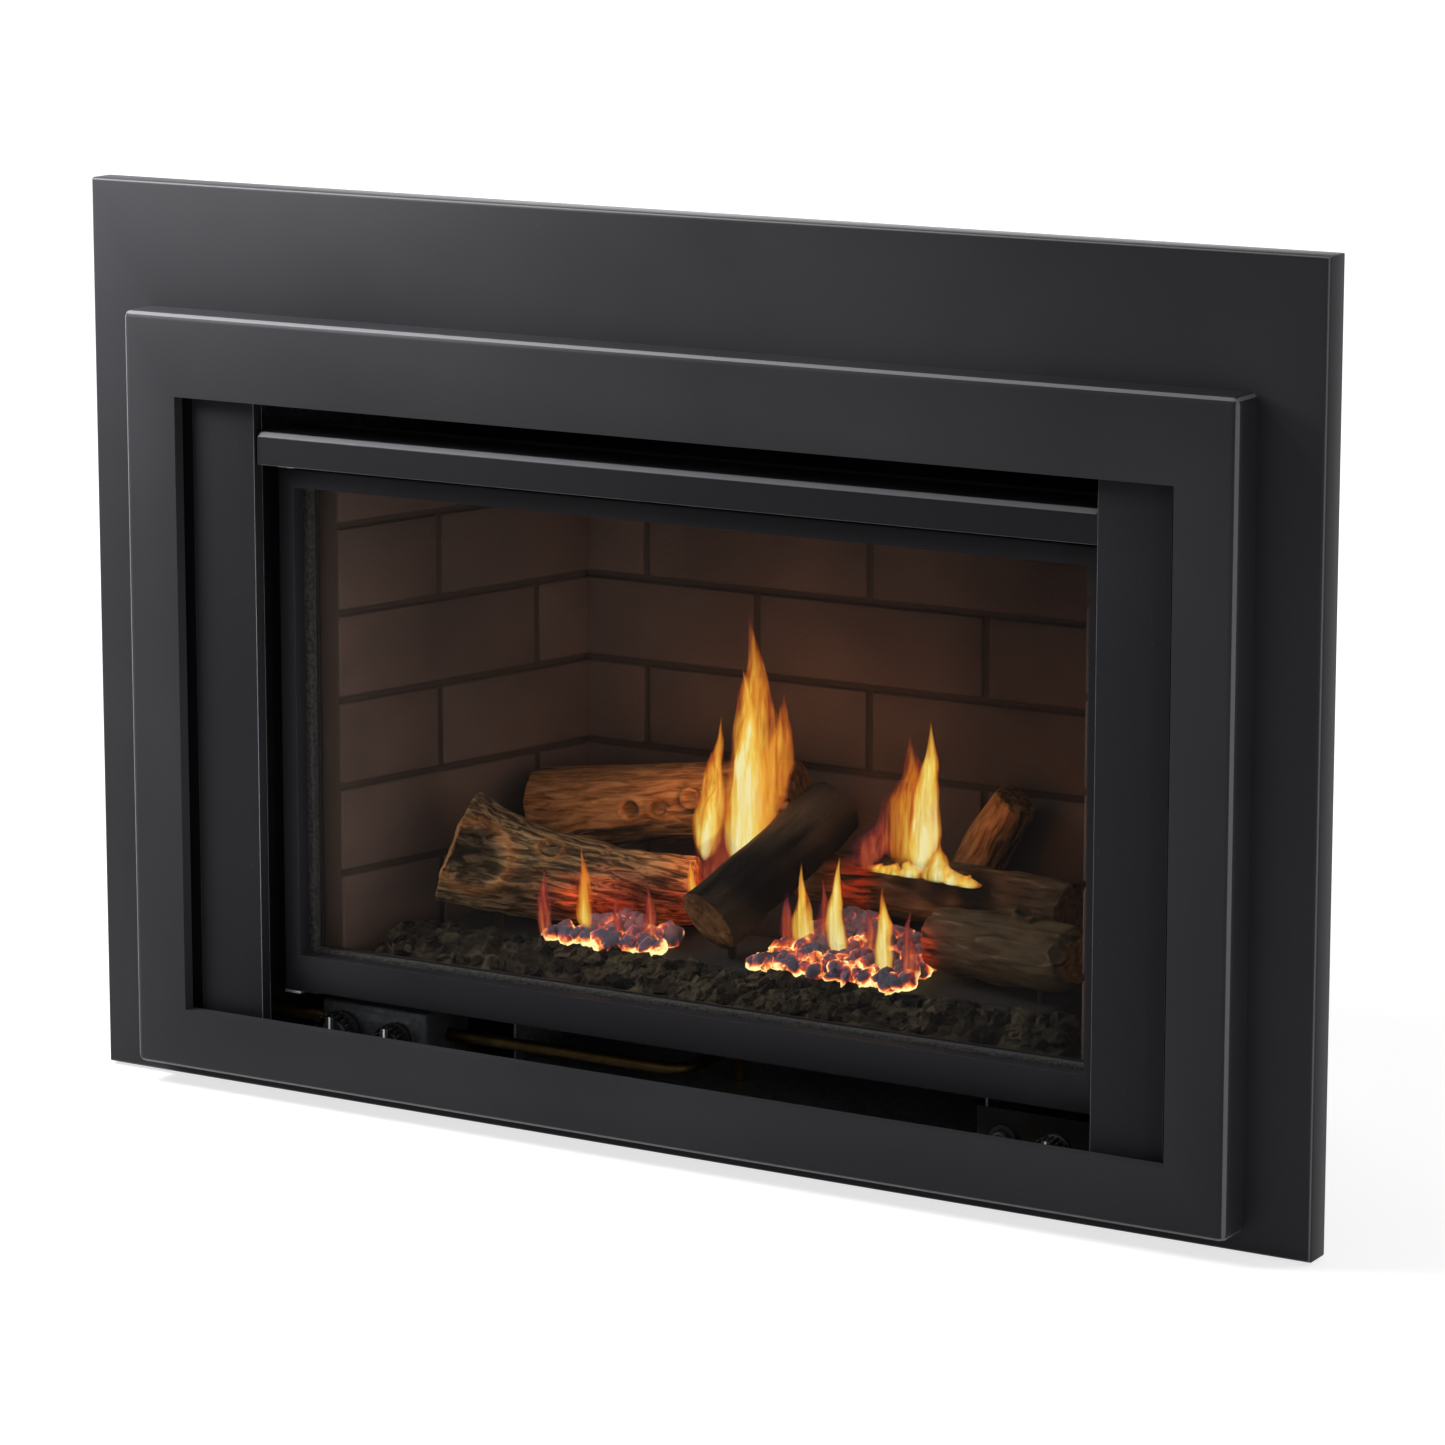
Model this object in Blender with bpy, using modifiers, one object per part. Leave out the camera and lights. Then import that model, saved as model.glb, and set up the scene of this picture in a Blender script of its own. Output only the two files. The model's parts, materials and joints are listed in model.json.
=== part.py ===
"""Gas fireplace insert with a raised bezel, a side-hung glass door and a ceramic log set.

Metres, +Z up. The front faces -Y, and the origin lies at the middle of the underside.
Each object is one piece of the real product. Moving pieces hang from an empty on their axis.
"""

import math

import bmesh
import bpy
from mathutils import Matrix, Vector, noise

# Clearances
SEAT_GAP = 0.0003
RUNNING_GAP = 0.0001
CUT_OVERRUN = 0.004
WELD_DISTANCE = 0.00001

# Glass door. Its width and height set those of everything round it.
DOOR_WIDTH = 0.693
DOOR_HEIGHT = 0.402
DOOR_SETBACK = 0.038
DOOR_STILE = 0.014
DOOR_TOP_MEMBER = 0.014
DOOR_BOTTOM_MEMBER = 0.028
DOOR_DEPTH = 0.018
DOOR_EDGE_RADIUS = 0.0015
GLASS_THICKNESS = 0.005
GLASS_LAP = 0.009
GASKET_WIDTH = 0.009
GASKET_INSET = 0.006
GASKET_HEIGHT = 0.0087
HINGE_INSET = 0.007
HINGE_AXIS_DEPTH = 0.006
HINGE_PIN_RADIUS = 0.003
HINGE_PIN_LENGTH = 0.010
HINGE_PLATE = 0.002
HINGE_PLATE_WIDTH = 0.014
HINGE_PLATE_REACH = 0.006
HINGE_TAB = 0.010
CATCH_WIDTH = 0.012
CATCH_HEIGHT = 0.030
CATCH_SHEET = 0.001

# Columns and rail in the bezel's opening
COLUMN_DOOR_GAP = 0.0035
COLUMN_WIDTH = 0.056
COLUMN_SETBACK = 0.013
COLUMN_SHEET = 0.002
COLUMN_INNER_RETURN = 0.010
COLUMN_REAR_FLANGE = 0.028
COLUMN_END_GAP = 0.002
RAIL_DOOR_GAP = 0.005
RAIL_HEIGHT = 0.025
RAIL_SETBACK = 0.015
RAIL_SHEET = 0.002
RAIL_RETURN = 0.010
RAIL_TAB = 0.012
RAIL_NOSE = 0.004
RAIL_END_GAP = 0.0015
OUTLET_HEIGHT = 0.023
CONTROL_SLOT = 0.017

# Bezel
BEZEL_REVEAL = 0.007
BEZEL_SIDE = 0.047
BEZEL_TOP_BAND = 0.063
BEZEL_FOOT_BAND = 0.047
BEZEL_STANDOFF = 0.030
BEZEL_SHEET = 0.002
BEZEL_INNER_RETURN = 0.010
BEZEL_EDGE_RADIUS = 0.006
BEZEL_EDGE_SEGMENTS = 3
MAGNET_RADIUS = 0.008
MAGNET_STEM_RADIUS = 0.004
MAGNET_HEAD = 0.005
MAGNET_INSET = 0.026

# Faceplate
FACE_LIFT = 0.002
FACE_SIDE_MARGIN = 0.050
FACE_TOP_MARGIN = 0.094
FACE_FOOT_MARGIN = 0.014
FACE_SHEET = 0.002
FACE_RETURN = 0.022
FACE_EDGE_RADIUS = 0.003
FACE_OPENING_SIDE_GAP = 0.005
FACE_OPENING_HEADROOM = 0.013
FACE_OPENING_SILL = 0.010

# Outer casing
CASE_LIFT = 0.016
CASE_SIDE_GAP = 0.002
CASE_HEADROOM = 0.025
CASE_TAPER = 0.105
CASE_STRAIGHT = 0.170
CASE_REAR_GAP = 0.0933
CASE_SHEET = 0.0015
CASE_FLANGE = 0.010

# Levelling bolts
BOLT_FOOT_RADIUS = 0.011
BOLT_FOOT_HEIGHT = 0.004
BOLT_RADIUS = 0.004
BOLT_NUT_RADIUS = 0.0075
BOLT_NUT_HEIGHT = 0.006
BOLT_TIP = 0.006
BOLT_FRONT_SIDE_INSET = 0.030
BOLT_FRONT_INSET = 0.052
BOLT_REAR_SIDE_INSET = 0.040
BOLT_REAR_INSET = 0.026

# Firebox
FLANGE_SIDE_GAP = 0.010
FLANGE_FOOT = 0.008
FLANGE_HEAD = 0.002
FLANGE_SHEET = 0.002
MOUTH_MARGIN = 0.0025
MOUTH_RIM = 0.006
FIREBOX_TAPER = 0.074
FIREBOX_DEPTH = 0.270
FIREBOX_SILL = 0.020
FIREBOX_HEAD_INSET = 0.014
FIREBOX_SHEET = 0.002
SUPPORT_INSET = 0.047
SUPPORT_WIDTH = 0.024
SUPPORT_SHEET = 0.002
SUPPORT_FRONT_INSET = 0.072
SUPPORT_LENGTH_SHARE = 0.63

# Brick-effect liner
BRICK_THICKNESS = 0.018
BRICK_HEADROOM = 0.022
BRICK_COURSE = 0.067
BRICK_LENGTH = 0.200
MORTAR_WIDTH = 0.006
MORTAR_DEPTH = 0.003
BRICK_SIDE_FRONT_GAP = 0.004

# Flue
FLUE_X = 0.080
FLUE_FIREBOX_INSET = 0.0767
COLLAR_RADIUS = 0.038
COLLAR_WALL = 0.0015
COLLAR_RISE = 0.052
COLLAR_BEAD = 0.002
COLLAR_BEAD_DROP = 0.014
FLUE_PORT_LEDGE = 0.002
ADAPTOR_SHEET = 0.002
ADAPTOR_MARGIN = 0.022

# Burner. Shares are of the depth between the flange and the rear panel.
TRAY_START_SHARE = 0.212
TRAY_DEPTH_SHARE = 0.380
SHELF_DEPTH_SHARE = 0.344
TRAY_SIDE_GAP = 0.0125
TRAY_HEIGHT = 0.0237
TRAY_EDGE_RADIUS = 0.003
PORT_LENGTH = 0.034
PORT_WIDTH = 0.003
PORT_DEPTH = 0.006
PORT_PITCH = 0.013
PORT_COUNT = 5
PORT_FRONT_INSET = 0.010
SHELF_SIDE_GAP = 0.045
SHELF_GAP = 0.004
SHELF_HEIGHT = 0.0397
SHELF_SHEET = 0.002
LOG_PIN_RADIUS = 0.0035
LOG_PIN_DEPTH_SHARE = 0.25
LOG_PIN_ROOT = 0.001
TRAY_SHEET = 0.002
VENTURI_X = -0.030
VENTURI_Y_SHARE = 0.68
VENTURI_RADIUS = 0.012
VENTURI_WALL = 0.0015
VENTURI_LENGTH = 0.041
VENTURI_BELL_RIM = 0.003
VENTURI_BELL_HEIGHT = 0.004
SHUTTER_WALL = 0.0015
SHUTTER_HEIGHT = 0.016
SHUTTER_WINDOW = 0.009
SHUTTER_LEVER_GAP = 0.010
SHUTTER_LEVER_WIDTH = 0.008
SHUTTER_LEVER_SHEET = 0.002
INJECTOR_RADIUS = 0.007
INJECTOR_TIP_RADIUS = 0.004
INJECTOR_POST_RADIUS = 0.005
INJECTOR_BODY_HEIGHT = 0.014
INJECTOR_TIP_HEIGHT = 0.004

# Gas controls, set up from the casing's floor
PIPE_LIFT = 0.0272
PIPE_RADIUS = 0.005
PIPE_BEND = 0.018
VALVE_SIDE_GAP = 0.080
VALVE_WIDTH = 0.096
VALVE_DEPTH = 0.062
VALVE_HEIGHT = 0.050
VALVE_FRONT_INSET = 0.004
VALVE_EDGE_RADIUS = 0.004
VALVE_BOSS_RADIUS = 0.012
VALVE_BOSS_HEIGHT = 0.004
REGULATOR_RADIUS = 0.015
REGULATOR_HEIGHT = 0.010
REGULATOR_CAP_RADIUS = 0.008
REGULATOR_CAP_HEIGHT = 0.005
GAS_KNOB_RADIUS = 0.017
FLAME_KNOB_RADIUS = 0.014
KNOB_SPACING = 0.050
FAN_KNOB_RADIUS = 0.013
KNOB_DEPTH = 0.014
KNOB_SKIRT = 0.004
KNOB_GRIP_WIDTH = 0.007
INLET_REACH = 0.022
INLET_NUT_RADIUS = 0.011
INLET_NUT_LENGTH = 0.012
INLET_PIPE_RADIUS = 0.0065
PLATE_SIDE_GAP = 0.087
PLATE_WIDTH = 0.090
PLATE_HEIGHT = 0.050
PLATE_SHEET = 0.0015
PLATE_FOOT = 0.020
PLATE_FRONT_INSET = 0.006
CONTROL_LIFT = 0.0282
CONTROL_SPACING = 0.046
IGNITER_BODY_RADIUS = 0.009
IGNITER_BODY_LENGTH = 0.028
IGNITER_BEZEL_RADIUS = 0.011
IGNITER_BEZEL_LENGTH = 0.003
IGNITER_BUTTON_RADIUS = 0.007
IGNITER_BUTTON_LENGTH = 0.010
IGNITER_TRAVEL = 0.004
FAN_BODY_RADIUS = 0.010
FAN_BODY_LENGTH = 0.016
FAN_SHAFT_RADIUS = 0.003
FAN_SHAFT_LENGTH = 0.008
GLAND_Y_INSET = 0.070
GLAND_RADIUS = 0.008
GLAND_HEAD_RADIUS = 0.011
GLAND_REACH = 0.014
GLAND_BORE = 0.0035

# Blower
BLOWER_SIDE_GAP = 0.053
BLOWER_MOTOR_SPACE = 0.151
BLOWER_REAR_INSET = 0.145
BLOWER_AXIS_LIFT = 0.0382
BLOWER_PLATE = 0.002
BLOWER_PLATE_DEPTH = 0.078
BLOWER_HEIGHT = 0.0762
SCROLL_START_GAP = 0.0035
SCROLL_END_GAP = 0.008
SCROLL_SHEET = 0.0015
SCROLL_STEPS = 12
TONGUE_GAP = 0.0045
WHEEL_RADIUS = 0.028
WHEEL_BLADES = 24
WHEEL_BLADE_SHEET = 0.0012
WHEEL_BLADE_DEPTH = 0.007
WHEEL_DISC = 0.002
WHEEL_END_GAP = 0.003
SHAFT_RADIUS = 0.003
SHAFT_SEAT = 0.006
MOTOR_RADIUS = 0.025
MOTOR_LENGTH = 0.046
MOTOR_BORE_DEPTH = 0.010

# Pilot
PILOT_SHELF_GAP = 0.021
PILOT_REAR_GAP = 0.026
PILOT_PLATE_WIDTH = 0.020
PILOT_PLATE_DEPTH = 0.036
PILOT_PLATE_SHEET = 0.002
PILOT_PLATE_HEIGHT = 0.018
PILOT_HOOD_RADIUS = 0.005
PILOT_HOOD_HEIGHT = 0.016
PILOT_ROD_RADIUS = 0.0022
PILOT_ROD_HEIGHT = 0.022
PILOT_SPACING = 0.011

# Fuel beds. Spans are shares of the tray's half width and of its depth.
COAL_FRONT_GAP = 0.008
COAL_SIDE_GAP = 0.009
COAL_FRONT_HEIGHT = 0.010
COAL_REAR_HEIGHT = 0.022
COAL_BUMP = 0.0035
EMBER_FRONT_INSET = 0.001
EMBER_HEIGHT = 0.0045
EMBER_REAR_HEIGHT = 0.016
EMBER_BUMP = 0.002
LEFT_BED_SPAN_SHARES = (-0.63, -0.25)
RIGHT_BED_SPAN_SHARES = (0.15, 0.525)
LEFT_BED_DEPTH_SHARE = 0.28
RIGHT_BED_DEPTH_SHARE = 0.84
BED_RIM_SHARE = 0.55

# Log set. A point's shares are: across the carrier's half width, back along its depth, above its
# top in nominal radii, and of the nominal radius.
LOG_RADIUS = 0.030
LOG_SIDES = 16
LOG_RINGS = 11
BARK_DEPTH = 0.0016
REAR_LEFT_SHARES = (
    (-1.17, 0.16, 1.77, 1.13),
    (-0.63, 0.42, 2.27, 1.07),
    (-0.13, 0.60, 2.73, 0.93),
)
FRONT_LEFT_SHARES = (
    (-0.94, 0.08, 2.07, 1.50),
    (-0.81, 0.22, 1.62, 1.30),
    (-0.53, 0.45, 1.28, 1.00),
    (-0.27, 0.72, 1.20, 0.90),
)
CROSSING_SHARES = (
    (-0.08, 0.01, 1.07, 0.90),
    (0.01, 0.60, 2.20, 0.87),
    (0.09, 1.23, 3.43, 0.80),
)
RIGHT_SHARES = (
    (-0.04, 0.28, 0.97, 0.73),
    (0.54, 0.23, 1.00, 0.80),
    (1.10, 0.12, 0.98, 0.83),
)
STUB_SHARES = (
    (0.55, 0.82, 1.07, 0.70),
    (0.63, 0.80, 2.13, 0.67),
    (0.73, 0.78, 3.20, 0.57),
)
FRONT_RIGHT_SHARES = (
    (0.565, 0.54, 1.00, 0.80),
    (0.82, 0.35, 1.10, 0.90),
    (1.05, 0.16, 1.27, 0.80),
)
REAR_LEFT_PIN_SHARES = (0.25, 0.72)
FRONT_LEFT_PIN_SHARES = (0.30, 0.78)
CROSSING_PIN_SHARES = (0.22,)
RIGHT_PIN_SHARES = (0.22, 0.80)
STUB_PIN_SHARES = (0.16,)
FRONT_RIGHT_PIN_SHARES = (0.25, 0.72)
FRONT_RIGHT_BRANCH_SHARES = ((0.52, 0.35, -0.2, 1.0), (0.80, 0.55, -0.9, 0.35))
REAR_LEFT_BRANCH_SHARES = ((0.62, 0.1, -1.0, 0.25),)
BRANCH_LENGTH = 0.034
BRANCH_RADIUS = 0.011
BRANCH_TAPER_SHARE = 0.72
RAGGED_SHARE = 3.2

# Widths, from the door outwards and inwards
DOOR_HALF = DOOR_WIDTH / 2
COLUMN_INNER_X = DOOR_HALF + COLUMN_DOOR_GAP
COLUMN_OUTER_X = COLUMN_INNER_X + COLUMN_WIDTH
BEZEL_OPENING_HALF = COLUMN_OUTER_X + BEZEL_REVEAL
BEZEL_HALF = BEZEL_OPENING_HALF + BEZEL_SIDE
FACE_HALF = BEZEL_HALF + FACE_SIDE_MARGIN
FACE_OPENING_HALF = BEZEL_OPENING_HALF + FACE_OPENING_SIDE_GAP
CASE_HALF = BEZEL_OPENING_HALF + CASE_SIDE_GAP
CASE_REAR_HALF = CASE_HALF - CASE_TAPER
FLANGE_HALF = CASE_HALF - FLANGE_SIDE_GAP
SIGHT_HALF = DOOR_HALF - DOOR_STILE
MOUTH_HALF = SIGHT_HALF - MOUTH_MARGIN
FIREBOX_FRONT_HALF = MOUTH_HALF + MOUTH_RIM
FIREBOX_REAR_HALF = FIREBOX_FRONT_HALF - FIREBOX_TAPER
SUPPORT_X = FIREBOX_REAR_HALF - SUPPORT_INSET
SUPPORT_INNER_X = SUPPORT_X - SUPPORT_WIDTH / 2
VALVE_X = VALVE_SIDE_GAP + VALVE_WIDTH / 2 - CASE_HALF
PLATE_X = CASE_HALF - PLATE_SIDE_GAP - PLATE_WIDTH / 2
BLOWER_LEFT_X = BLOWER_SIDE_GAP - SUPPORT_INNER_X
BLOWER_RIGHT_X = SUPPORT_INNER_X - BLOWER_MOTOR_SPACE
HINGE_X = HINGE_INSET - DOOR_HALF
GAS_KNOB_X = VALVE_X - KNOB_SPACING / 2
FLAME_KNOB_X = VALVE_X + KNOB_SPACING / 2
IGNITER_X = PLATE_X - CONTROL_SPACING / 2
FAN_KNOB_X = PLATE_X + CONTROL_SPACING / 2

# Heights, from the hearth up
BEZEL_BOTTOM = FACE_LIFT + FACE_FOOT_MARGIN
BEZEL_OPENING_BOTTOM = BEZEL_BOTTOM + BEZEL_FOOT_BAND
DOOR_BOTTOM = BEZEL_OPENING_BOTTOM + CONTROL_SLOT
DOOR_TOP = DOOR_BOTTOM + DOOR_HEIGHT
SIGHT_BOTTOM = DOOR_BOTTOM + DOOR_BOTTOM_MEMBER
SIGHT_TOP = DOOR_TOP - DOOR_TOP_MEMBER
RAIL_BOTTOM = DOOR_TOP + RAIL_DOOR_GAP
RAIL_TOP = RAIL_BOTTOM + RAIL_HEIGHT
BEZEL_OPENING_TOP = RAIL_TOP + OUTLET_HEIGHT
BEZEL_TOP = BEZEL_OPENING_TOP + BEZEL_TOP_BAND
FACE_TOP = BEZEL_TOP + FACE_TOP_MARGIN
FACE_OPENING_BOTTOM = BEZEL_BOTTOM + FACE_OPENING_SILL
FACE_OPENING_TOP = BEZEL_OPENING_TOP + FACE_OPENING_HEADROOM
CASE_BOTTOM = CASE_LIFT
CASE_TOP = BEZEL_OPENING_TOP + CASE_HEADROOM
CASE_FLOOR_TOP = CASE_BOTTOM + CASE_SHEET
FLANGE_BOTTOM = DOOR_BOTTOM - FLANGE_FOOT
FLANGE_TOP = RAIL_TOP + FLANGE_HEAD
FIREBOX_FLOOR = DOOR_BOTTOM + FIREBOX_SILL
FIREBOX_UNDERSIDE = FIREBOX_FLOOR - FIREBOX_SHEET
FIREBOX_TOP = FLANGE_TOP - FIREBOX_HEAD_INSET
BRICK_TOP = FIREBOX_TOP - BRICK_HEADROOM
FIREBOX_SEAT = FIREBOX_FLOOR + SEAT_GAP
TRAY_TOP = FIREBOX_SEAT + TRAY_HEIGHT
SHELF_TOP = FIREBOX_SEAT + SHELF_HEIGHT
CASE_SEAT = CASE_FLOOR_TOP + SEAT_GAP
PIPE_Z = CASE_SEAT + PIPE_LIFT
CONTROL_Z = CASE_SEAT + CONTROL_LIFT
BLOWER_AXIS_Z = CASE_SEAT + BLOWER_AXIS_LIFT

# Depths, from the bezel's face back
FLANGE_SETBACK = DOOR_SETBACK + DOOR_DEPTH + GASKET_HEIGHT
TOTAL_DEPTH = FLANGE_SETBACK + FLANGE_SHEET + FIREBOX_DEPTH + CASE_REAR_GAP
FRONT_Y = -TOTAL_DEPTH / 2
FACE_FRONT_Y = FRONT_Y + BEZEL_STANDOFF
CASE_FRONT_Y = FACE_FRONT_Y + FACE_SHEET + SEAT_GAP
CASE_REAR_Y = TOTAL_DEPTH / 2
DOOR_FRONT_Y = FRONT_Y + DOOR_SETBACK
DOOR_REAR_Y = DOOR_FRONT_Y + DOOR_DEPTH
HINGE_Y = DOOR_FRONT_Y + HINGE_AXIS_DEPTH
FLANGE_FRONT_Y = FRONT_Y + FLANGE_SETBACK
FLANGE_REAR_Y = FLANGE_FRONT_Y + FLANGE_SHEET
FIREBOX_REAR_Y = FLANGE_REAR_Y + FIREBOX_DEPTH
PANEL_REAR_Y = FIREBOX_REAR_Y - FIREBOX_SHEET - SEAT_GAP
PANEL_FRONT_Y = PANEL_REAR_Y - BRICK_THICKNESS
HEARTH_DEPTH = PANEL_FRONT_Y - FLANGE_REAR_Y
TRAY_FRONT_Y = FLANGE_REAR_Y + HEARTH_DEPTH * TRAY_START_SHARE
TRAY_DEPTH = HEARTH_DEPTH * TRAY_DEPTH_SHARE
TRAY_REAR_Y = TRAY_FRONT_Y + TRAY_DEPTH
SHELF_FRONT_Y = TRAY_REAR_Y + SHELF_GAP
SHELF_DEPTH = HEARTH_DEPTH * SHELF_DEPTH_SHARE
SHELF_REAR_Y = SHELF_FRONT_Y + SHELF_DEPTH
SUPPORT_LENGTH = FIREBOX_DEPTH * SUPPORT_LENGTH_SHARE
VENTURI_Y = TRAY_FRONT_Y + TRAY_DEPTH * VENTURI_Y_SHARE
VALVE_FRONT_Y = FLANGE_FRONT_Y + VALVE_FRONT_INSET
VALVE_MIDDLE_Y = VALVE_FRONT_Y + VALVE_DEPTH / 2
PLATE_FRONT_Y = FLANGE_FRONT_Y - PLATE_FRONT_INSET
BLOWER_Y = CASE_REAR_Y - BLOWER_REAR_INSET
FLUE_Y = FIREBOX_REAR_Y - FLUE_FIREBOX_INSET
PILOT_FRONT_Y = TRAY_REAR_Y + PILOT_REAR_GAP - PILOT_PLATE_DEPTH / 2

PART_NAME = "gas_fireplace_insert"
ROUND_STEPS = 32
SMALL_STEPS = 16
PIN_STEPS = 12
BOW_SEGMENTS = 2
SMOOTH_ANGLE = math.radians(38)


def clear_scene():
    """Take away everything that a new file starts with."""
    for obj in list(bpy.data.objects):
        bpy.data.objects.remove(obj, do_unlink=True)


def new_collection(name):
    """A collection under the scene's own."""
    collection = bpy.data.collections.new(name)
    bpy.context.scene.collection.children.link(collection)
    return collection


def finish(name, colour, metallic, roughness, glow=None):
    """A Principled material with the part's colour, roughness and metallic value."""
    material = bpy.data.materials.new(name)
    material.use_nodes = True
    shader = material.node_tree.nodes["Principled BSDF"]
    shader.inputs["Base Color"].default_value = (*colour, 1.0)
    shader.inputs["Metallic"].default_value = metallic
    shader.inputs["Roughness"].default_value = roughness
    if glow:
        shader.inputs["Emission Color"].default_value = (*glow, 1.0)
        shader.inputs["Emission Strength"].default_value = 1.0
    material.diffuse_color = (*colour, 1.0)
    return material


clear_scene()
PARTS = new_collection(PART_NAME)
CUTTERS = new_collection("cutters")
CHARCOAL = finish("charcoal_powder_coat", (0.055, 0.053, 0.055), 0.3, 0.5)
BLACK_STEEL = finish("heat_proof_black_paint", (0.02, 0.019, 0.019), 0.2, 0.6)
ZINC = finish("zinc_plated_steel", (0.45, 0.45, 0.46), 0.9, 0.4)
ALUMINISED = finish("aluminised_steel", (0.36, 0.36, 0.35), 0.8, 0.5)
BRICK = finish("ceramic_fibre_brick", (0.16, 0.11, 0.085), 0.0, 0.9)
LOG = finish("ceramic_fibre_log", (0.30, 0.19, 0.12), 0.0, 0.9)
COAL = finish("crushed_coal", (0.04, 0.037, 0.035), 0.0, 0.8)
EMBER = finish("ember_wool", (0.55, 0.20, 0.06), 0.0, 0.9, (0.9, 0.25, 0.03))
GLASS = finish("ceramic_glass", (0.10, 0.09, 0.08), 0.0, 0.05)
ROPE = finish("glass_fibre_rope", (0.12, 0.12, 0.12), 0.0, 0.9)
BRASS = finish("brass", (0.60, 0.45, 0.20), 1.0, 0.3)
PLASTIC = finish("black_phenolic", (0.02, 0.02, 0.02), 0.0, 0.4)
PORCELAIN = finish("white_porcelain", (0.75, 0.74, 0.70), 0.0, 0.3)


def empty_at(name, place):
    """An empty that carries the pieces of one body, on the joint's axis if it moves."""
    holder = bpy.data.objects.new(name, None)
    holder.location = place
    PARTS.objects.link(holder)
    return holder


INSERT = empty_at("insert_body", Vector((0, 0, 0)))


def place_object(obj, place, material, holder):
    """Give an object its material and its parent, at a place in world coordinates."""
    if material:
        obj.data.materials.append(material)
    obj.parent = holder
    obj.location = Vector(place) - holder.location
    return obj


def add_mesh(name, bm, place, material, holder=INSERT, smooth=False):
    """Turn a bmesh, drawn round its own origin, into an object of the part."""
    mesh = bpy.data.meshes.new(name)
    bmesh.ops.recalc_face_normals(bm, faces=bm.faces)
    bm.to_mesh(mesh)
    bm.free()
    if smooth:
        mesh.shade_smooth()
        mesh.set_sharp_from_angle(angle=SMOOTH_ANGLE)
    obj = bpy.data.objects.new(name, mesh)
    PARTS.objects.link(obj)
    return place_object(obj, place, material, holder)


def make_tool(obj):
    """Hide an object that only shapes another one."""
    PARTS.objects.unlink(obj)
    CUTTERS.objects.link(obj)
    obj.hide_render = True
    obj.display_type = "WIRE"
    return obj


def boolean(target, tool, operation):
    """Add one Boolean to a piece and put its tool away."""
    modifier = target.modifiers.new(operation.lower() + "_" + tool.name, "BOOLEAN")
    modifier.operation = operation
    modifier.object = make_tool(tool)
    modifier.use_self = operation == "DIFFERENCE" and tool.get("overlapping", False)
    return target


def cut(target, tool):
    return boolean(target, tool, "DIFFERENCE")


def join(target, tool):
    return boolean(target, tool, "UNION")


def round_edges(obj, radius, segments=BOW_SEGMENTS, angle=math.radians(40)):
    """Round every sharp edge of a piece."""
    modifier = obj.modifiers.new("rounded_edges", "BEVEL")
    modifier.width = radius
    modifier.segments = segments
    modifier.limit_method = "ANGLE"
    modifier.angle_limit = angle
    return obj


def face_out(obj):
    """Turn an open shell's faces outwards, judged by its outermost side wall."""
    wall = max(obj.data.polygons, key=lambda face: abs(face.normal.x * face.center.x))
    if wall.normal.x * wall.center.x < 0:
        obj.data.flip_normals()
    return obj


def thicken(obj, sheet):
    """Give an open surface its sheet thickness, inwards from its faces."""
    modifier = obj.modifiers.new("sheet_thickness", "SOLIDIFY")
    modifier.thickness = sheet
    modifier.offset = -1.0
    modifier.solidify_mode = "NON_MANIFOLD"
    modifier.nonmanifold_thickness_mode = "CONSTRAINTS"
    return obj


def block(name, low, high, material, holder=INSERT, edge=0.0):
    """A box between two corners, with rounded edges where asked."""
    low = Vector(low)
    high = Vector(high)
    bm = bmesh.new()
    bmesh.ops.create_cube(bm, size=1.0)
    bmesh.ops.scale(bm, vec=high - low, verts=bm.verts)
    obj = add_mesh(name, bm, (low + high) / 2, material, holder)
    if edge:
        round_edges(obj, edge)
    return obj


def axis_turn(axis):
    """The turn that lays local +Z along +X, +Y or +Z."""
    turns = {
        "X": Matrix.Rotation(math.pi / 2, 4, "Y"),
        "Y": Matrix.Rotation(-math.pi / 2, 4, "X"),
        "Z": Matrix.Identity(4),
    }
    return turns[axis]


def turned(name, outline, place, material, holder=INSERT, axis="Z", steps=ROUND_STEPS):
    """A turned piece. The outline holds (radius, height) points, top to bottom on its outer side."""
    bm = bmesh.new()
    points = [bm.verts.new((radius, 0, height)) for radius, height in outline]
    for first, second in zip(points, points[1:]):
        bm.edges.new((first, second))
    if min(radius for radius, _ in outline) > 0:
        bm.edges.new((points[-1], points[0]))
    mesh = bpy.data.meshes.new(name)
    bm.to_mesh(mesh)
    bm.free()
    obj = bpy.data.objects.new(name, mesh)
    PARTS.objects.link(obj)
    place_object(obj, place, material, holder)
    obj.rotation_euler = axis_turn(axis).to_euler()
    screw = obj.modifiers.new("turned", "SCREW")
    screw.steps = steps
    screw.render_steps = steps
    screw.use_merge_vertices = True
    screw.merge_threshold = WELD_DISTANCE
    screw.use_smooth_shade = True
    return obj


def rod(name, centre, radius, length, material, holder=INSERT, axis="Z", steps=SMALL_STEPS):
    """A plain cylinder about its centre."""
    bm = bmesh.new()
    bmesh.ops.create_cone(
        bm, cap_ends=True, segments=steps, radius1=radius, radius2=radius, depth=length
    )
    bmesh.ops.transform(bm, matrix=axis_turn(axis), verts=bm.verts)
    return add_mesh(name, bm, centre, material, holder, smooth=True)


def prism(name, outline, low_z, high_z, material, holder=INSERT):
    """An upright prism over an outline of (x, y) points."""
    bm = bmesh.new()
    face = bm.faces.new([bm.verts.new((x, y, low_z)) for x, y in outline])
    grown = bmesh.ops.extrude_face_region(bm, geom=[face])
    top = [item for item in grown["geom"] if isinstance(item, bmesh.types.BMVert)]
    bmesh.ops.translate(bm, vec=(0, 0, high_z - low_z), verts=top)
    return add_mesh(name, bm, (0, 0, 0), material, holder)


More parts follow.
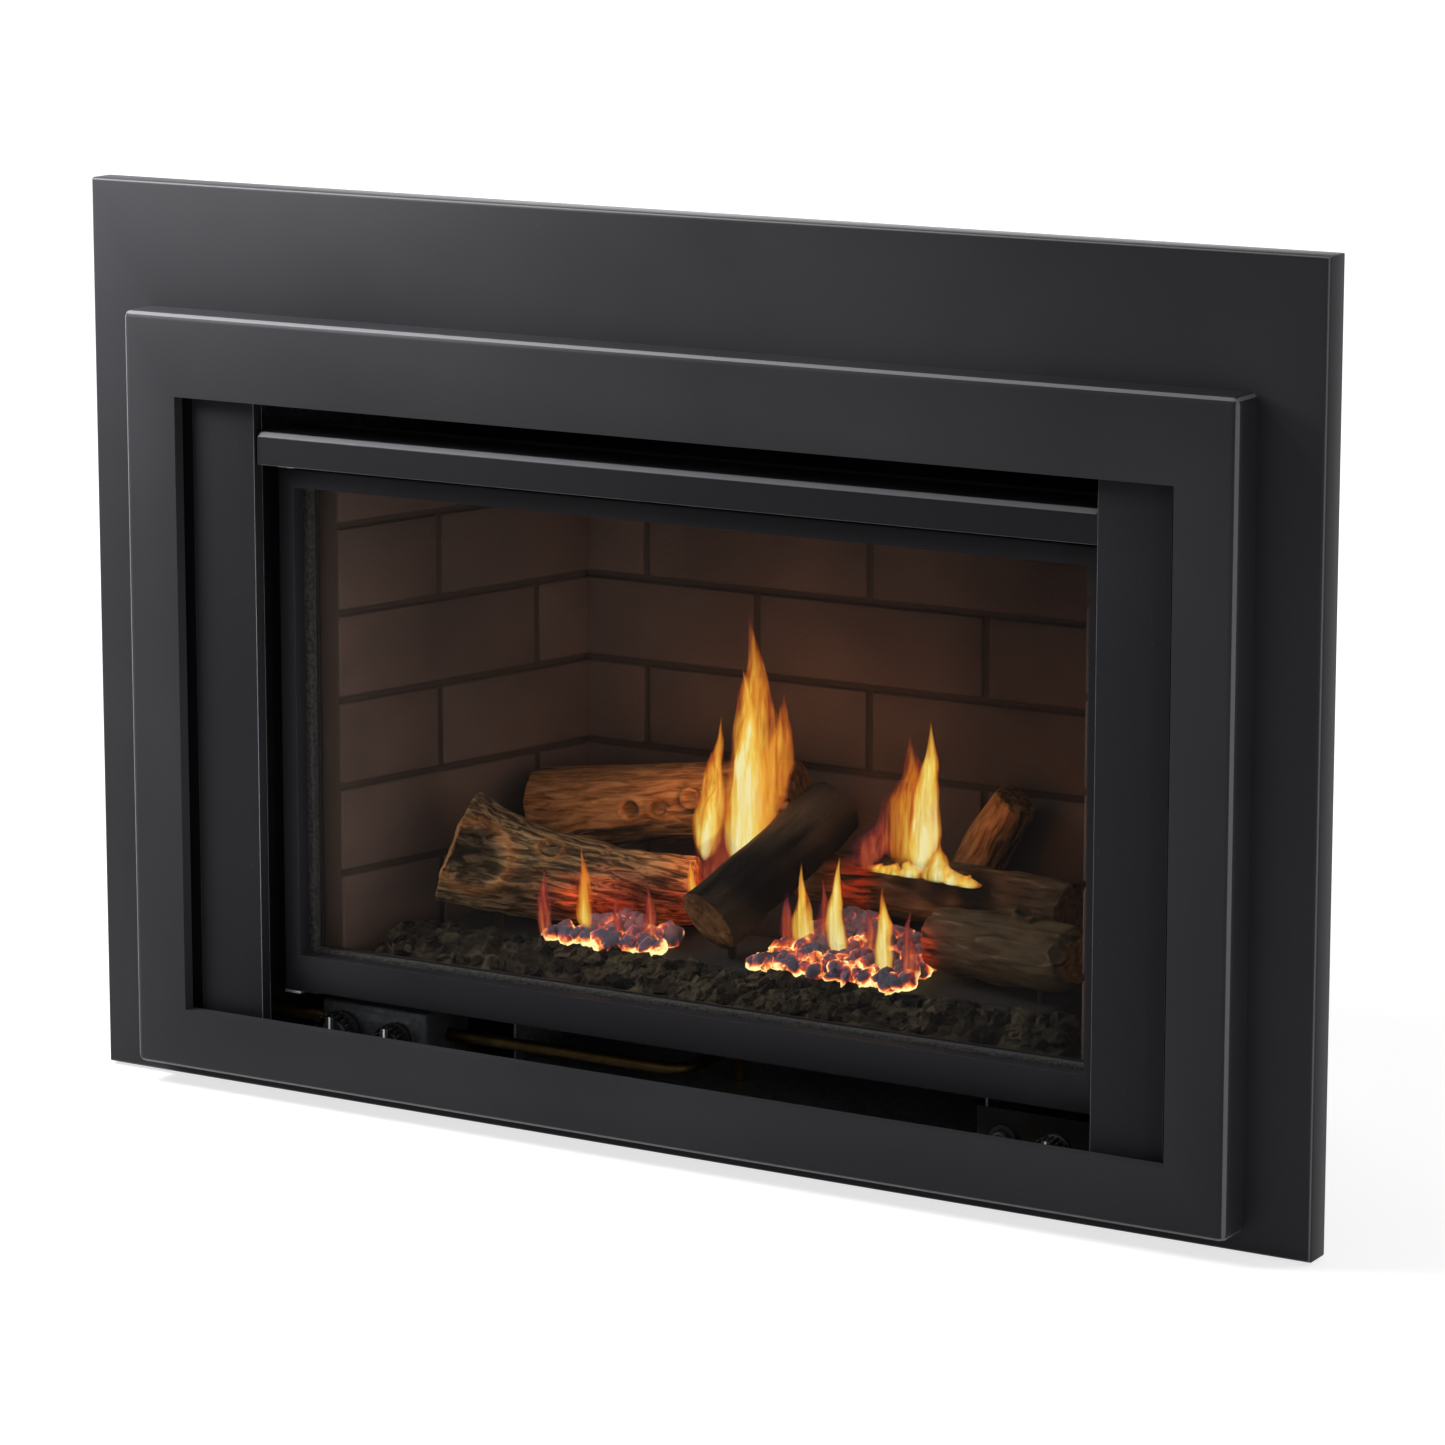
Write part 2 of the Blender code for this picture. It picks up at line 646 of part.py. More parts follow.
def folded_sheet(name, outline, start, end, sheet, material, along="Z", bend=0.0, holder=INSERT):
    """A folded sheet: an open outline of (x, y) points drawn along Z, or (y, z) points along X."""
    bm = bmesh.new()
    verts = []
    for first, second in outline:
        spot = (first, second, start) if along == "Z" else (start, first, second)
        verts.append(bm.verts.new(spot))
    edges = [bm.edges.new(pair) for pair in zip(verts, verts[1:])]
    grown = bmesh.ops.extrude_edge_only(bm, edges=edges)
    moved = [item for item in grown["geom"] if isinstance(item, bmesh.types.BMVert)]
    step = Vector((0, 0, end - start)) if along == "Z" else Vector((end - start, 0, 0))
    bmesh.ops.translate(bm, vec=step, verts=moved)
    if bend:
        folds = [edge for edge in bm.edges if len(edge.link_faces) == 2]
        bmesh.ops.bevel(
            bm, geom=folds, offset=bend, segments=BOW_SEGMENTS, profile=0.5, affect="EDGES"
        )
    mesh = bpy.data.meshes.new(name)
    bm.to_mesh(mesh)
    bm.free()
    obj = bpy.data.objects.new(name, mesh)
    PARTS.objects.link(obj)
    place_object(obj, (0, 0, 0), material, holder)
    return thicken(obj, sheet)


def build_faceplate():
    """A flat steel plate with edges folded back to the wall and an opening for the insert."""
    depth = FACE_SHEET + FACE_RETURN
    height = FACE_TOP - FACE_LIFT
    bm = bmesh.new()
    bmesh.ops.create_cube(bm, size=1.0)
    bmesh.ops.scale(bm, vec=(2 * FACE_HALF, depth, height), verts=bm.verts)
    rear = [face for face in bm.faces if face.normal.y > 0.5]
    bmesh.ops.delete(bm, geom=rear, context="FACES_ONLY")
    front = [edge for edge in bm.edges if all(vert.co.y < 0 for vert in edge.verts)]
    bmesh.ops.bevel(
        bm, geom=front, offset=FACE_EDGE_RADIUS, segments=BOW_SEGMENTS, profile=0.5, affect="EDGES"
    )
    centre = Vector((0, FACE_FRONT_Y + depth / 2, FACE_LIFT + height / 2))
    plate = add_mesh("faceplate", bm, centre, CHARCOAL)
    thicken(plate, FACE_SHEET)
    opening = block(
        "faceplate_opening",
        (-FACE_OPENING_HALF, FACE_FRONT_Y - CUT_OVERRUN, FACE_OPENING_BOTTOM),
        (FACE_OPENING_HALF, FACE_FRONT_Y + FACE_SHEET + CUT_OVERRUN, FACE_OPENING_TOP),
        None,
    )
    return cut(plate, opening)


def frame_corners(half_width, low, high):
    """The four corners of an upright rectangle, anticlockwise from the front."""
    return ((-half_width, low), (half_width, low), (half_width, high), (-half_width, high))


def build_bezel(holder):
    """The raised picture frame, a folded shell with softly rounded outer edges."""
    depth = BEZEL_STANDOFF - SEAT_GAP
    middle = (BEZEL_BOTTOM + BEZEL_TOP) / 2
    bm = bmesh.new()
    corners = frame_corners(BEZEL_OPENING_HALF, BEZEL_OPENING_BOTTOM, BEZEL_OPENING_TOP)
    inner = [bm.verts.new((x, 0, z - middle)) for x, z in corners]
    ring = [bm.edges.new((inner[i], inner[i - 1])) for i in range(len(inner))]
    outer = grow(bm, ring, (0, 0, 0))
    for vert in outer:
        vert.co.x = math.copysign(BEZEL_HALF, vert.co.x)
        vert.co.z = math.copysign(BEZEL_TOP - middle, vert.co.z)
    outer_ring = [edge for edge in bm.edges if all(vert in outer for vert in edge.verts)]
    grow(bm, outer_ring, (0, depth, 0))
    grow(bm, ring, (0, BEZEL_INNER_RETURN, 0))
    band = BEZEL_HALF - BEZEL_SIDE / 2
    soft = [
        edge
        for edge in bm.edges
        if len(edge.link_faces) == 2
        and all(abs(vert.co.x) > band for vert in edge.verts)
        and (edge in outer_ring or abs(edge.verts[0].co.y - edge.verts[1].co.y) > 0)
    ]
    bmesh.ops.bevel(
        bm,
        geom=soft,
        offset=BEZEL_EDGE_RADIUS,
        segments=BEZEL_EDGE_SEGMENTS,
        profile=0.5,
        affect="EDGES",
    )
    bezel = add_mesh("bezel", bm, (0, FRONT_Y, middle), CHARCOAL, holder)
    return thicken(face_out(bezel), BEZEL_SHEET)


def grow(bm, edges, step):
    """Draw faces out from some edges by one step, and return the new vertices."""
    made = bmesh.ops.extrude_edge_only(bm, edges=edges)["geom"]
    verts = [item for item in made if isinstance(item, bmesh.types.BMVert)]
    bmesh.ops.translate(bm, vec=step, verts=verts)
    return verts


def build_magnets():
    """Four magnet posts that stand on the faceplate and hold the bezel from inside."""
    reach = BEZEL_STANDOFF - BEZEL_SHEET - 2 * SEAT_GAP
    outline = (
        (0, 0),
        (MAGNET_RADIUS, 0),
        (MAGNET_RADIUS, -MAGNET_HEAD),
        (MAGNET_STEM_RADIUS, -MAGNET_HEAD),
        (MAGNET_STEM_RADIUS, MAGNET_HEAD / 2 - reach),
        (MAGNET_RADIUS, MAGNET_HEAD / 2 - reach),
        (MAGNET_RADIUS, -reach),
        (0, -reach),
    )
    x = BEZEL_HALF - BEZEL_SIDE / 2
    heights = {
        "lower": BEZEL_OPENING_BOTTOM + MAGNET_INSET,
        "upper": BEZEL_OPENING_TOP - MAGNET_INSET,
    }
    for level, z in heights.items():
        for side, sign in (("left", -1), ("right", 1)):
            turned(
                f"bezel_magnet_{level}_{side}",
                outline,
                (sign * x, FACE_FRONT_Y - SEAT_GAP, z),
                ZINC,
                axis="Y",
                steps=PIN_STEPS,
            )


def case_outline():
    """The casing's plan: straight sides at the front, then a taper to the rear."""
    front = CASE_FRONT_Y + CASE_SHEET
    knee = CASE_FRONT_Y + CASE_STRAIGHT
    return (
        (-CASE_HALF, front),
        (-CASE_HALF, knee),
        (-CASE_REAR_HALF, CASE_REAR_Y),
        (CASE_REAR_HALF, CASE_REAR_Y),
        (CASE_HALF, knee),
        (CASE_HALF, front),
    )


def bolt_places():
    """The name, x and y of each levelling bolt."""
    front_x = CASE_HALF - BOLT_FRONT_SIDE_INSET
    rear_x = CASE_REAR_HALF - BOLT_REAR_SIDE_INSET
    front_y = CASE_FRONT_Y + BOLT_FRONT_INSET
    rear_y = CASE_REAR_Y - BOLT_REAR_INSET
    return (
        ("front_left", -front_x, front_y),
        ("front_right", front_x, front_y),
        ("rear_left", -rear_x, rear_y),
        ("rear_right", rear_x, rear_y),
    )


def open_box(name, outline, low_z, high_z, sheet, material, flange=0.0):
    """A sheet box over a plan outline, open at the front, with a flange round the opening."""
    bm = bmesh.new()
    face = bm.faces.new([bm.verts.new((x, y, low_z)) for x, y in outline])
    grown = bmesh.ops.extrude_face_region(bm, geom=[face])
    top = [item for item in grown["geom"] if isinstance(item, bmesh.types.BMVert)]
    bmesh.ops.translate(bm, vec=(0, 0, high_z - low_z), verts=top)
    bmesh.ops.recalc_face_normals(bm, faces=bm.faces)
    front = [face for face in bm.faces if face.normal.y < -0.9]
    bmesh.ops.delete(bm, geom=front, context="FACES_ONLY")
    if flange:
        rim = [edge for edge in bm.edges if len(edge.link_faces) == 1]
        skirt = bmesh.ops.extrude_edge_only(bm, edges=rim)["geom"]
        middle = (low_z + high_z) / 2
        for vert in [item for item in skirt if isinstance(item, bmesh.types.BMVert)]:
            vert.co.x += math.copysign(flange, vert.co.x)
            vert.co.z += math.copysign(flange, vert.co.z - middle)
    return thicken(face_out(add_mesh(name, bm, (0, 0, 0), material)), sheet)


def build_casing():
    """The outer casing with its flue holes and the holes for gas and power."""
    casing = open_box(
        "outer_casing", case_outline(), CASE_BOTTOM, CASE_TOP, CASE_SHEET, ALUMINISED, CASE_FLANGE
    )
    for side, sign in (("left", -1), ("right", 1)):
        hole = rod(
            f"casing_flue_hole_{side}",
            (sign * FLUE_X, FLUE_Y, CASE_TOP),
            COLLAR_RADIUS + SEAT_GAP,
            2 * CUT_OVERRUN,
            None,
            steps=ROUND_STEPS,
        )
        cut(casing, hole)
    for name, x, y in bolt_places():
        hole = rod(
            f"casing_bolt_hole_{name}",
            (x, y, CASE_BOTTOM),
            BOLT_RADIUS + SEAT_GAP,
            2 * CUT_OVERRUN,
            None,
            steps=SMALL_STEPS,
        )
        cut(casing, hole)
    gas_hole = rod(
        "casing_gas_hole",
        (-CASE_HALF, VALVE_MIDDLE_Y, PIPE_Z),
        INLET_PIPE_RADIUS + SEAT_GAP,
        2 * CUT_OVERRUN,
        None,
        axis="X",
    )
    power_hole = rod(
        "casing_power_hole",
        (CASE_HALF, CASE_FRONT_Y + GLAND_Y_INSET, CONTROL_Z),
        GLAND_RADIUS + SEAT_GAP,
        2 * CUT_OVERRUN,
        None,
        axis="X",
    )
    cut(casing, gas_hole)
    return cut(casing, power_hole)


def build_levelling_bolts():
    """Four bolts with a foot disc, a lower nut under the floor sheet and an upper nut on it."""
    lower = CASE_BOTTOM - SEAT_GAP
    upper = CASE_SEAT
    outline = (
        (0, upper + BOLT_NUT_HEIGHT + BOLT_TIP),
        (BOLT_RADIUS, upper + BOLT_NUT_HEIGHT + BOLT_TIP),
        (BOLT_RADIUS, upper + BOLT_NUT_HEIGHT),
        (BOLT_NUT_RADIUS, upper + BOLT_NUT_HEIGHT),
        (BOLT_NUT_RADIUS, upper),
        (BOLT_RADIUS, upper),
        (BOLT_RADIUS, lower),
        (BOLT_NUT_RADIUS, lower),
        (BOLT_NUT_RADIUS, lower - BOLT_NUT_HEIGHT),
        (BOLT_RADIUS, lower - BOLT_NUT_HEIGHT),
        (BOLT_RADIUS, BOLT_FOOT_HEIGHT),
        (BOLT_FOOT_RADIUS, BOLT_FOOT_HEIGHT),
        (BOLT_FOOT_RADIUS, 0),
        (0, 0),
    )
    for name, x, y in bolt_places():
        turned(f"levelling_bolt_{name}", outline, (x, y, 0), ZINC, steps=PIN_STEPS)


def build_columns():
    """The two upright columns in the bezel's opening, folded back to the firebox flange."""
    front = FRONT_Y + COLUMN_SETBACK
    rear = FLANGE_FRONT_Y - SEAT_GAP
    outline = (
        (COLUMN_INNER_X, front + COLUMN_INNER_RETURN),
        (COLUMN_INNER_X, front),
        (COLUMN_OUTER_X, front),
        (COLUMN_OUTER_X, rear),
        (COLUMN_OUTER_X - COLUMN_REAR_FLANGE, rear),
    )
    low = FACE_OPENING_BOTTOM + COLUMN_END_GAP
    high = FACE_OPENING_TOP - COLUMN_END_GAP
    mirrored = [(-x, y) for x, y in outline]
    folded_sheet("column_right", outline[::-1], low, high, COLUMN_SHEET, CHARCOAL)
    folded_sheet("column_left", mirrored, low, high, COLUMN_SHEET, CHARCOAL)


def build_rail():
    """The folded rail between the columns, over the glass and under the warm-air outlet."""
    front = FRONT_Y + RAIL_SETBACK
    rear = FLANGE_FRONT_Y - SEAT_GAP
    outline = (
        (front + RAIL_RETURN, RAIL_BOTTOM),
        (front, RAIL_BOTTOM),
        (front, RAIL_TOP - RAIL_NOSE),
        (front + RAIL_NOSE, RAIL_TOP),
        (rear, RAIL_TOP),
        (rear, RAIL_TOP - RAIL_TAB),
    )
    half = COLUMN_INNER_X - RAIL_END_GAP
    folded_sheet("outlet_rail", outline, -half, half, RAIL_SHEET, CHARCOAL, along="X")


def build_door_frame(holder):
    """The slim door frame, rebated behind for the glass and bored for the hinge pins."""
    frame = block(
        "door_frame",
        (-DOOR_HALF, DOOR_FRONT_Y, DOOR_BOTTOM),
        (DOOR_HALF, DOOR_REAR_Y, DOOR_TOP),
        CHARCOAL,
        holder,
        edge=DOOR_EDGE_RADIUS,
    )
    sight = block(
        "door_sight_opening",
        (-SIGHT_HALF, DOOR_FRONT_Y - CUT_OVERRUN, SIGHT_BOTTOM),
        (SIGHT_HALF, DOOR_REAR_Y + CUT_OVERRUN, SIGHT_TOP),
        None,
        holder,
    )
    lap = GLASS_LAP + SEAT_GAP
    rebate = block(
        "door_glass_rebate",
        (-SIGHT_HALF - lap, DOOR_REAR_Y - GLASS_THICKNESS - 2 * SEAT_GAP, SIGHT_BOTTOM - lap),
        (SIGHT_HALF + lap, DOOR_REAR_Y + CUT_OVERRUN, SIGHT_TOP + lap),
        None,
        holder,
    )
    cut(frame, sight)
    cut(frame, rebate)
    depth = HINGE_PIN_LENGTH + SEAT_GAP
    for level, z in (("upper", DOOR_TOP - depth / 2), ("lower", DOOR_BOTTOM + depth / 2)):
        overrun = CUT_OVERRUN / 2 if level == "upper" else -CUT_OVERRUN / 2
        bore = rod(
            f"door_hinge_bore_{level}",
            (HINGE_X, HINGE_Y, z + overrun),
            HINGE_PIN_RADIUS + RUNNING_GAP,
            depth + CUT_OVERRUN,
            None,
            holder,
        )
        cut(frame, bore)
    return frame


def build_glass(holder):
    """The ceramic glass and the rope gasket on its rear face."""
    half = SIGHT_HALF + GLASS_LAP
    low = SIGHT_BOTTOM - GLASS_LAP
    high = SIGHT_TOP + GLASS_LAP
    rear = DOOR_REAR_Y - SEAT_GAP
    block("glass_pane", (-half, rear - GLASS_THICKNESS, low), (half, rear, high), GLASS, holder)
    front = rear + SEAT_GAP
    outer = half - GASKET_INSET + GASKET_WIDTH / 2
    inner = outer - GASKET_WIDTH
    gasket = block(
        "door_gasket",
        (-outer, front, low + half - outer),
        (outer, FLANGE_FRONT_Y - SEAT_GAP, high - half + outer),
        ROPE,
        holder,
    )
    hollow = block(
        "gasket_hollow",
        (-inner, front - CUT_OVERRUN, low + half - inner),
        (inner, FLANGE_FRONT_Y + CUT_OVERRUN, high - half + inner),
        None,
        holder,
    )
    cut(gasket, hollow)


def build_hinge_brackets():
    """The two brackets on the firebox flange, each with a fixed pin that enters the door frame."""
    rear = FLANGE_FRONT_Y - SEAT_GAP
    half = HINGE_PLATE_WIDTH / 2
    for level, sign, edge in (("upper", 1, DOOR_TOP), ("lower", -1, DOOR_BOTTOM)):
        near = edge + sign * SEAT_GAP
        far = near + sign * HINGE_PLATE
        tab_end = far + sign * HINGE_TAB if level == "upper" else FLANGE_BOTTOM
        bracket = block(
            f"door_hinge_bracket_{level}",
            (HINGE_X - half, HINGE_Y - HINGE_PLATE_REACH, min(near, far)),
            (HINGE_X + half, rear, max(near, far)),
            ZINC,
        )
        tab = block(
            f"hinge_tab_{level}",
            (HINGE_X - half, rear - HINGE_PLATE, min(near, tab_end)),
            (HINGE_X + half, rear, max(near, tab_end)),
            None,
        )
        pin = rod(
            f"hinge_pin_{level}",
            (HINGE_X, HINGE_Y, near - sign * (HINGE_PIN_LENGTH - HINGE_PLATE) / 2),
            HINGE_PIN_RADIUS,
            HINGE_PIN_LENGTH,
            None,
        )
        join(bracket, tab)
        join(bracket, pin)


def build_catch():
    """A spring leaf on the flange that bears on the free edge of the door."""
    rear = FLANGE_FRONT_Y - SEAT_GAP
    spring_x = DOOR_HALF + SEAT_GAP
    low = (DOOR_BOTTOM + DOOR_TOP - CATCH_HEIGHT) / 2
    outline = (
        (spring_x, DOOR_REAR_Y - DOOR_DEPTH / 2),
        (spring_x, rear),
        (spring_x + CATCH_WIDTH, rear),
    )
    folded_sheet("door_catch", outline, low, low + CATCH_HEIGHT, CATCH_SHEET, ZINC)


def firebox_wall_x(y, inset=0.0):
    """Half the firebox's inner width at a depth, less an inset square to the tapered wall."""
    slope = FIREBOX_TAPER / FIREBOX_DEPTH
    sheet = FIREBOX_SHEET + inset
    return FIREBOX_FRONT_HALF - slope * (y - FLANGE_REAR_Y) - sheet * math.hypot(1, slope)


TRAY_HALF = firebox_wall_x(TRAY_REAR_Y, BRICK_THICKNESS) - TRAY_SIDE_GAP
SHELF_HALF = firebox_wall_x(SHELF_REAR_Y, BRICK_THICKNESS) - SHELF_SIDE_GAP
COAL_HALF = firebox_wall_x(TRAY_FRONT_Y, BRICK_THICKNESS) - COAL_SIDE_GAP
PILOT_X = -SHELF_HALF - PILOT_SHELF_GAP - PILOT_PLATE_WIDTH / 2


def build_firebox():
    """The firebox: a tapered box welded behind a flange that the door gasket seals on."""
    overlap = FLANGE_SHEET / 2
    front = FLANGE_REAR_Y - overlap
    outline = (
        (-FIREBOX_FRONT_HALF, front),
        (-FIREBOX_REAR_HALF, FIREBOX_REAR_Y),
        (FIREBOX_REAR_HALF, FIREBOX_REAR_Y),
        (FIREBOX_FRONT_HALF, front),
    )
    firebox = open_box(
        "firebox", outline, FIREBOX_UNDERSIDE, FIREBOX_TOP, FIREBOX_SHEET, BLACK_STEEL
    )
    flange = block(
        "firebox_flange",
        (-FLANGE_HALF, FLANGE_FRONT_Y, FLANGE_BOTTOM),
        (FLANGE_HALF, FLANGE_REAR_Y, FLANGE_TOP),
        None,
    )
    join(firebox, flange)
    opening = block(
        "firebox_mouth",
        (-MOUTH_HALF, FLANGE_FRONT_Y - CUT_OVERRUN, SIGHT_BOTTOM + MOUTH_MARGIN),
        (MOUTH_HALF, FLANGE_REAR_Y + CUT_OVERRUN, SIGHT_TOP - MOUTH_MARGIN),
        None,
    )
    cut(firebox, opening)
    for side, sign in (("left", -1), ("right", 1)):
        port = rod(
            f"firebox_flue_port_{side}",
            (sign * FLUE_X, FLUE_Y, FIREBOX_TOP),
            COLLAR_RADIUS - COLLAR_WALL - FLUE_PORT_LEDGE,
            2 * CUT_OVERRUN,
            None,
            steps=ROUND_STEPS,
        )
        cut(firebox, port)
    venturi_port = rod(
        "firebox_venturi_port",
        (VENTURI_X, VENTURI_Y, FIREBOX_FLOOR),
        VENTURI_RADIUS + SEAT_GAP,
        2 * CUT_OVERRUN,
        None,
    )
    return cut(firebox, venturi_port)


def build_supports():
    """Two channels, open to the sides, that carry the firebox on the casing floor."""
    low = CASE_SEAT
    high = FIREBOX_UNDERSIDE - SEAT_GAP
    start = FLANGE_REAR_Y + SUPPORT_FRONT_INSET
    end = start + SUPPORT_LENGTH
    for side, sign in (("left", -1), ("right", 1)):
        web = sign * SUPPORT_INNER_X
        edge = sign * (SUPPORT_X + SUPPORT_WIDTH / 2)
        outline = ((edge, low), (web, low), (web, high), (edge, high))
        bm = bmesh.new()
        verts = [bm.verts.new((x, start, z)) for x, z in outline]
        grow(bm, [bm.edges.new(pair) for pair in zip(verts, verts[1:])], (0, end - start, 0))
        support = add_mesh(f"firebox_support_{side}", bm, (0, 0, 0), ZINC)
        inner = max(support.data.polygons, key=lambda face: abs(face.normal.x))
        if inner.normal.x * sign > 0:
            support.data.flip_normals()
        thicken(support, SUPPORT_SHEET)


def mortar_grid(name, length, height, turn, place, first_joint):
    """One cutter for all the mortar joints of a panel, in running bond."""
    bm = bmesh.new()
    courses = int(height / BRICK_COURSE) + 1
    for course in range(courses):
        low = course * BRICK_COURSE
        if course:
            add_bar(bm, (0, low - MORTAR_WIDTH / 2), (length, low + MORTAR_WIDTH / 2))
        joint = first_joint + (BRICK_LENGTH / 2 if course % 2 else 0)
        while joint < length:
            if joint > MORTAR_WIDTH:
                top = min(low + BRICK_COURSE, height)
                add_bar(bm, (joint - MORTAR_WIDTH / 2, low), (joint + MORTAR_WIDTH / 2, top))
            joint += BRICK_LENGTH
    cutter = add_mesh(name, bm, place, None)
    cutter.rotation_euler = (0, 0, turn)
    cutter["overlapping"] = True
    return cutter


def add_bar(bm, low, high):
    """A bar of a mortar cutter: along X, up Z, and centred on the face plane at Y = 0."""
    made = bmesh.ops.create_cube(bm, size=1.0)["verts"]
    reach = CUT_OVERRUN
    bottom = low[1] - reach if low[1] == 0 else low[1]
    size = (high[0] - low[0] + (2 * reach if low[0] == 0 else 0), 2 * MORTAR_DEPTH, high[1] - bottom)
    bmesh.ops.scale(bm, vec=size, verts=made)
    centre = ((low[0] + high[0]) / 2, 0, (bottom + high[1]) / 2)
    bmesh.ops.translate(bm, vec=centre, verts=made)


def build_brick_panels():
    """Three brick-effect panels that line the firebox in running bond."""
    low = FIREBOX_SEAT
    half = firebox_wall_x(PANEL_REAR_Y, SEAT_GAP)
    rear = block(
        "brick_panel_rear", (-half, PANEL_FRONT_Y, low), (half, PANEL_REAR_Y, BRICK_TOP), BRICK
    )
    grid = mortar_grid(
        "mortar_rear", 2 * half, BRICK_TOP - low, 0.0, (-half, PANEL_FRONT_Y, low), BRICK_LENGTH / 3
    )
    cut(rear, grid)
    near = FLANGE_REAR_Y + BRICK_SIDE_FRONT_GAP
    far = PANEL_FRONT_Y - SEAT_GAP
    outer = [(firebox_wall_x(near, SEAT_GAP), near), (firebox_wall_x(far, SEAT_GAP), far)]
    inset = SEAT_GAP + BRICK_THICKNESS
    inner = [(firebox_wall_x(far, inset), far), (firebox_wall_x(near, inset), near)]
    run = Vector((inner[0][0] - inner[1][0], inner[0][1] - inner[1][1]))
    for side, sign in (("left", -1), ("right", 1)):
        outline = [(sign * x, y) for x, y in outer + inner]
        panel = prism(f"brick_panel_{side}", outline, low, BRICK_TOP, BRICK)
        turn = math.atan2(run.y, sign * run.x)
        grid = mortar_grid(
            f"mortar_{side}",
            run.length,
            BRICK_TOP - low,
            turn,
            (sign * inner[1][0], near, low),
            BRICK_LENGTH / 2,
        )
        cut(panel, grid)


def build_flue():
    """The adaptor plate on the casing and the two spigots that the liners slide over."""
    low = CASE_TOP + SEAT_GAP
    half = FLUE_X + COLLAR_RADIUS + ADAPTOR_MARGIN
    plate = block(
        "flue_adaptor_plate",
        (-half, FLUE_Y - COLLAR_RADIUS - ADAPTOR_MARGIN, low),
        (half, FLUE_Y + COLLAR_RADIUS + ADAPTOR_MARGIN, low + ADAPTOR_SHEET),
        ZINC,
    )
    bottom = FIREBOX_TOP + SEAT_GAP
    top = CASE_TOP + COLLAR_RISE
    bead = top - COLLAR_BEAD_DROP
    inner = COLLAR_RADIUS - COLLAR_WALL
    outline = (
        (COLLAR_RADIUS, top),
        (COLLAR_RADIUS, bead + COLLAR_BEAD),
        (COLLAR_RADIUS + COLLAR_BEAD, bead),
        (COLLAR_RADIUS, bead - COLLAR_BEAD),
        (COLLAR_RADIUS, bottom),
        (inner, bottom),
        (inner, top),
    )
    for name, sign in (("intake_collar", -1), ("exhaust_collar", 1)):
        hole = rod(
            f"adaptor_hole_{name}",
            (sign * FLUE_X, FLUE_Y, low),
            COLLAR_RADIUS + SEAT_GAP,
            2 * CUT_OVERRUN,
            None,
            steps=ROUND_STEPS,
        )
        cut(plate, hole)
        turned(name, outline, (sign * FLUE_X, FLUE_Y, 0), ALUMINISED)


def along_path(path, share):
    """The centre, tangent and radius of a log at a share of its length."""
    spots = [Vector(point[:3]) for point in path]
    radii = [point[3] for point in path]
    position = min(max(share, 0.0), 1.0) * (len(spots) - 1)
    index = min(int(position), len(spots) - 2)
    local = position - index
    before = spots[max(index - 1, 0)]
    after = spots[min(index + 2, len(spots) - 1)]
    start = spots[index]
    end = spots[index + 1]
    leave = (end - before) / 2
    arrive = (after - start) / 2
    square = local * local
    cube = square * local
    centre = (
        start * (2 * cube - 3 * square + 1)
        + leave * (cube - 2 * square + local)
        + end * (3 * square - 2 * cube)
        + arrive * (cube - square)
    )
    tangent = (
        start * (6 * square - 6 * local)
        + leave * (3 * square - 4 * local + 1)
        + end * (6 * local - 6 * square)
        + arrive * (3 * square - 2 * local)
    )
    radius = radii[index] * (1 - local) + radii[index + 1] * local
    return centre, tangent.normalized(), radius


def bark_ring(bm, path, share, seed, shrink=1.0, push=0.0):
    """One ring of a log: a circle roughened by furrows that run along the log."""
    centre, tangent, radius = along_path(path, share)
    side = tangent.cross(Vector((0, 0, 1)))
    if side.length < 0.2:
        side = tangent.cross(Vector((0, 1, 0)))
    side.normalize()
    up = side.cross(tangent)
    ring = []
    for step in range(LOG_SIDES):
        angle = 2 * math.pi * step / LOG_SIDES
        ray = side * math.cos(angle) + up * math.sin(angle)
        grain = noise.noise(Vector((math.cos(angle), math.sin(angle), share)) * 2.1 + seed)
        furrow = noise.noise(Vector((math.cos(angle) * 5, math.sin(angle) * 5, share * 3)) + seed)
        rough = BARK_DEPTH * (grain + furrow)
        ragged = BARK_DEPTH * push * (1 + noise.noise(ray * 4 + seed))
        ring.append(bm.verts.new(centre + ray * (radius * shrink + rough) + tangent * ragged))
    return ring


def laid_path(shares, half_width, front, depth, top):
    """The points and radii of a log, from their shares of the carrier that it lies on."""
    path = []
    for across, back, up, radius in shares:
        spot = (half_width * across, front + depth * back, top + LOG_RADIUS * up)
        path.append((*spot, LOG_RADIUS * radius))
    return path


def branch_stub(name, path, branch):
    """A short cut-off branch that leaves a log at a share of its length."""
    share, x, y, z = branch
    centre, _, radius = along_path(path, share)
    away = Vector((x, y, z)).normalized()
    bm = bmesh.new()
    bmesh.ops.create_cone(
        bm,
        cap_ends=True,
        segments=PIN_STEPS,
        radius1=BRANCH_RADIUS,
        radius2=BRANCH_RADIUS * BRANCH_TAPER_SHARE,
        depth=BRANCH_LENGTH,
    )
    turn = away.to_track_quat("Z", "Y").to_matrix().to_4x4()
    bmesh.ops.transform(bm, matrix=turn, verts=bm.verts)
    reach = radius + BRANCH_LENGTH / 4
    return add_mesh(name, bm, centre + away * (reach - BRANCH_LENGTH / 2), None, smooth=True)


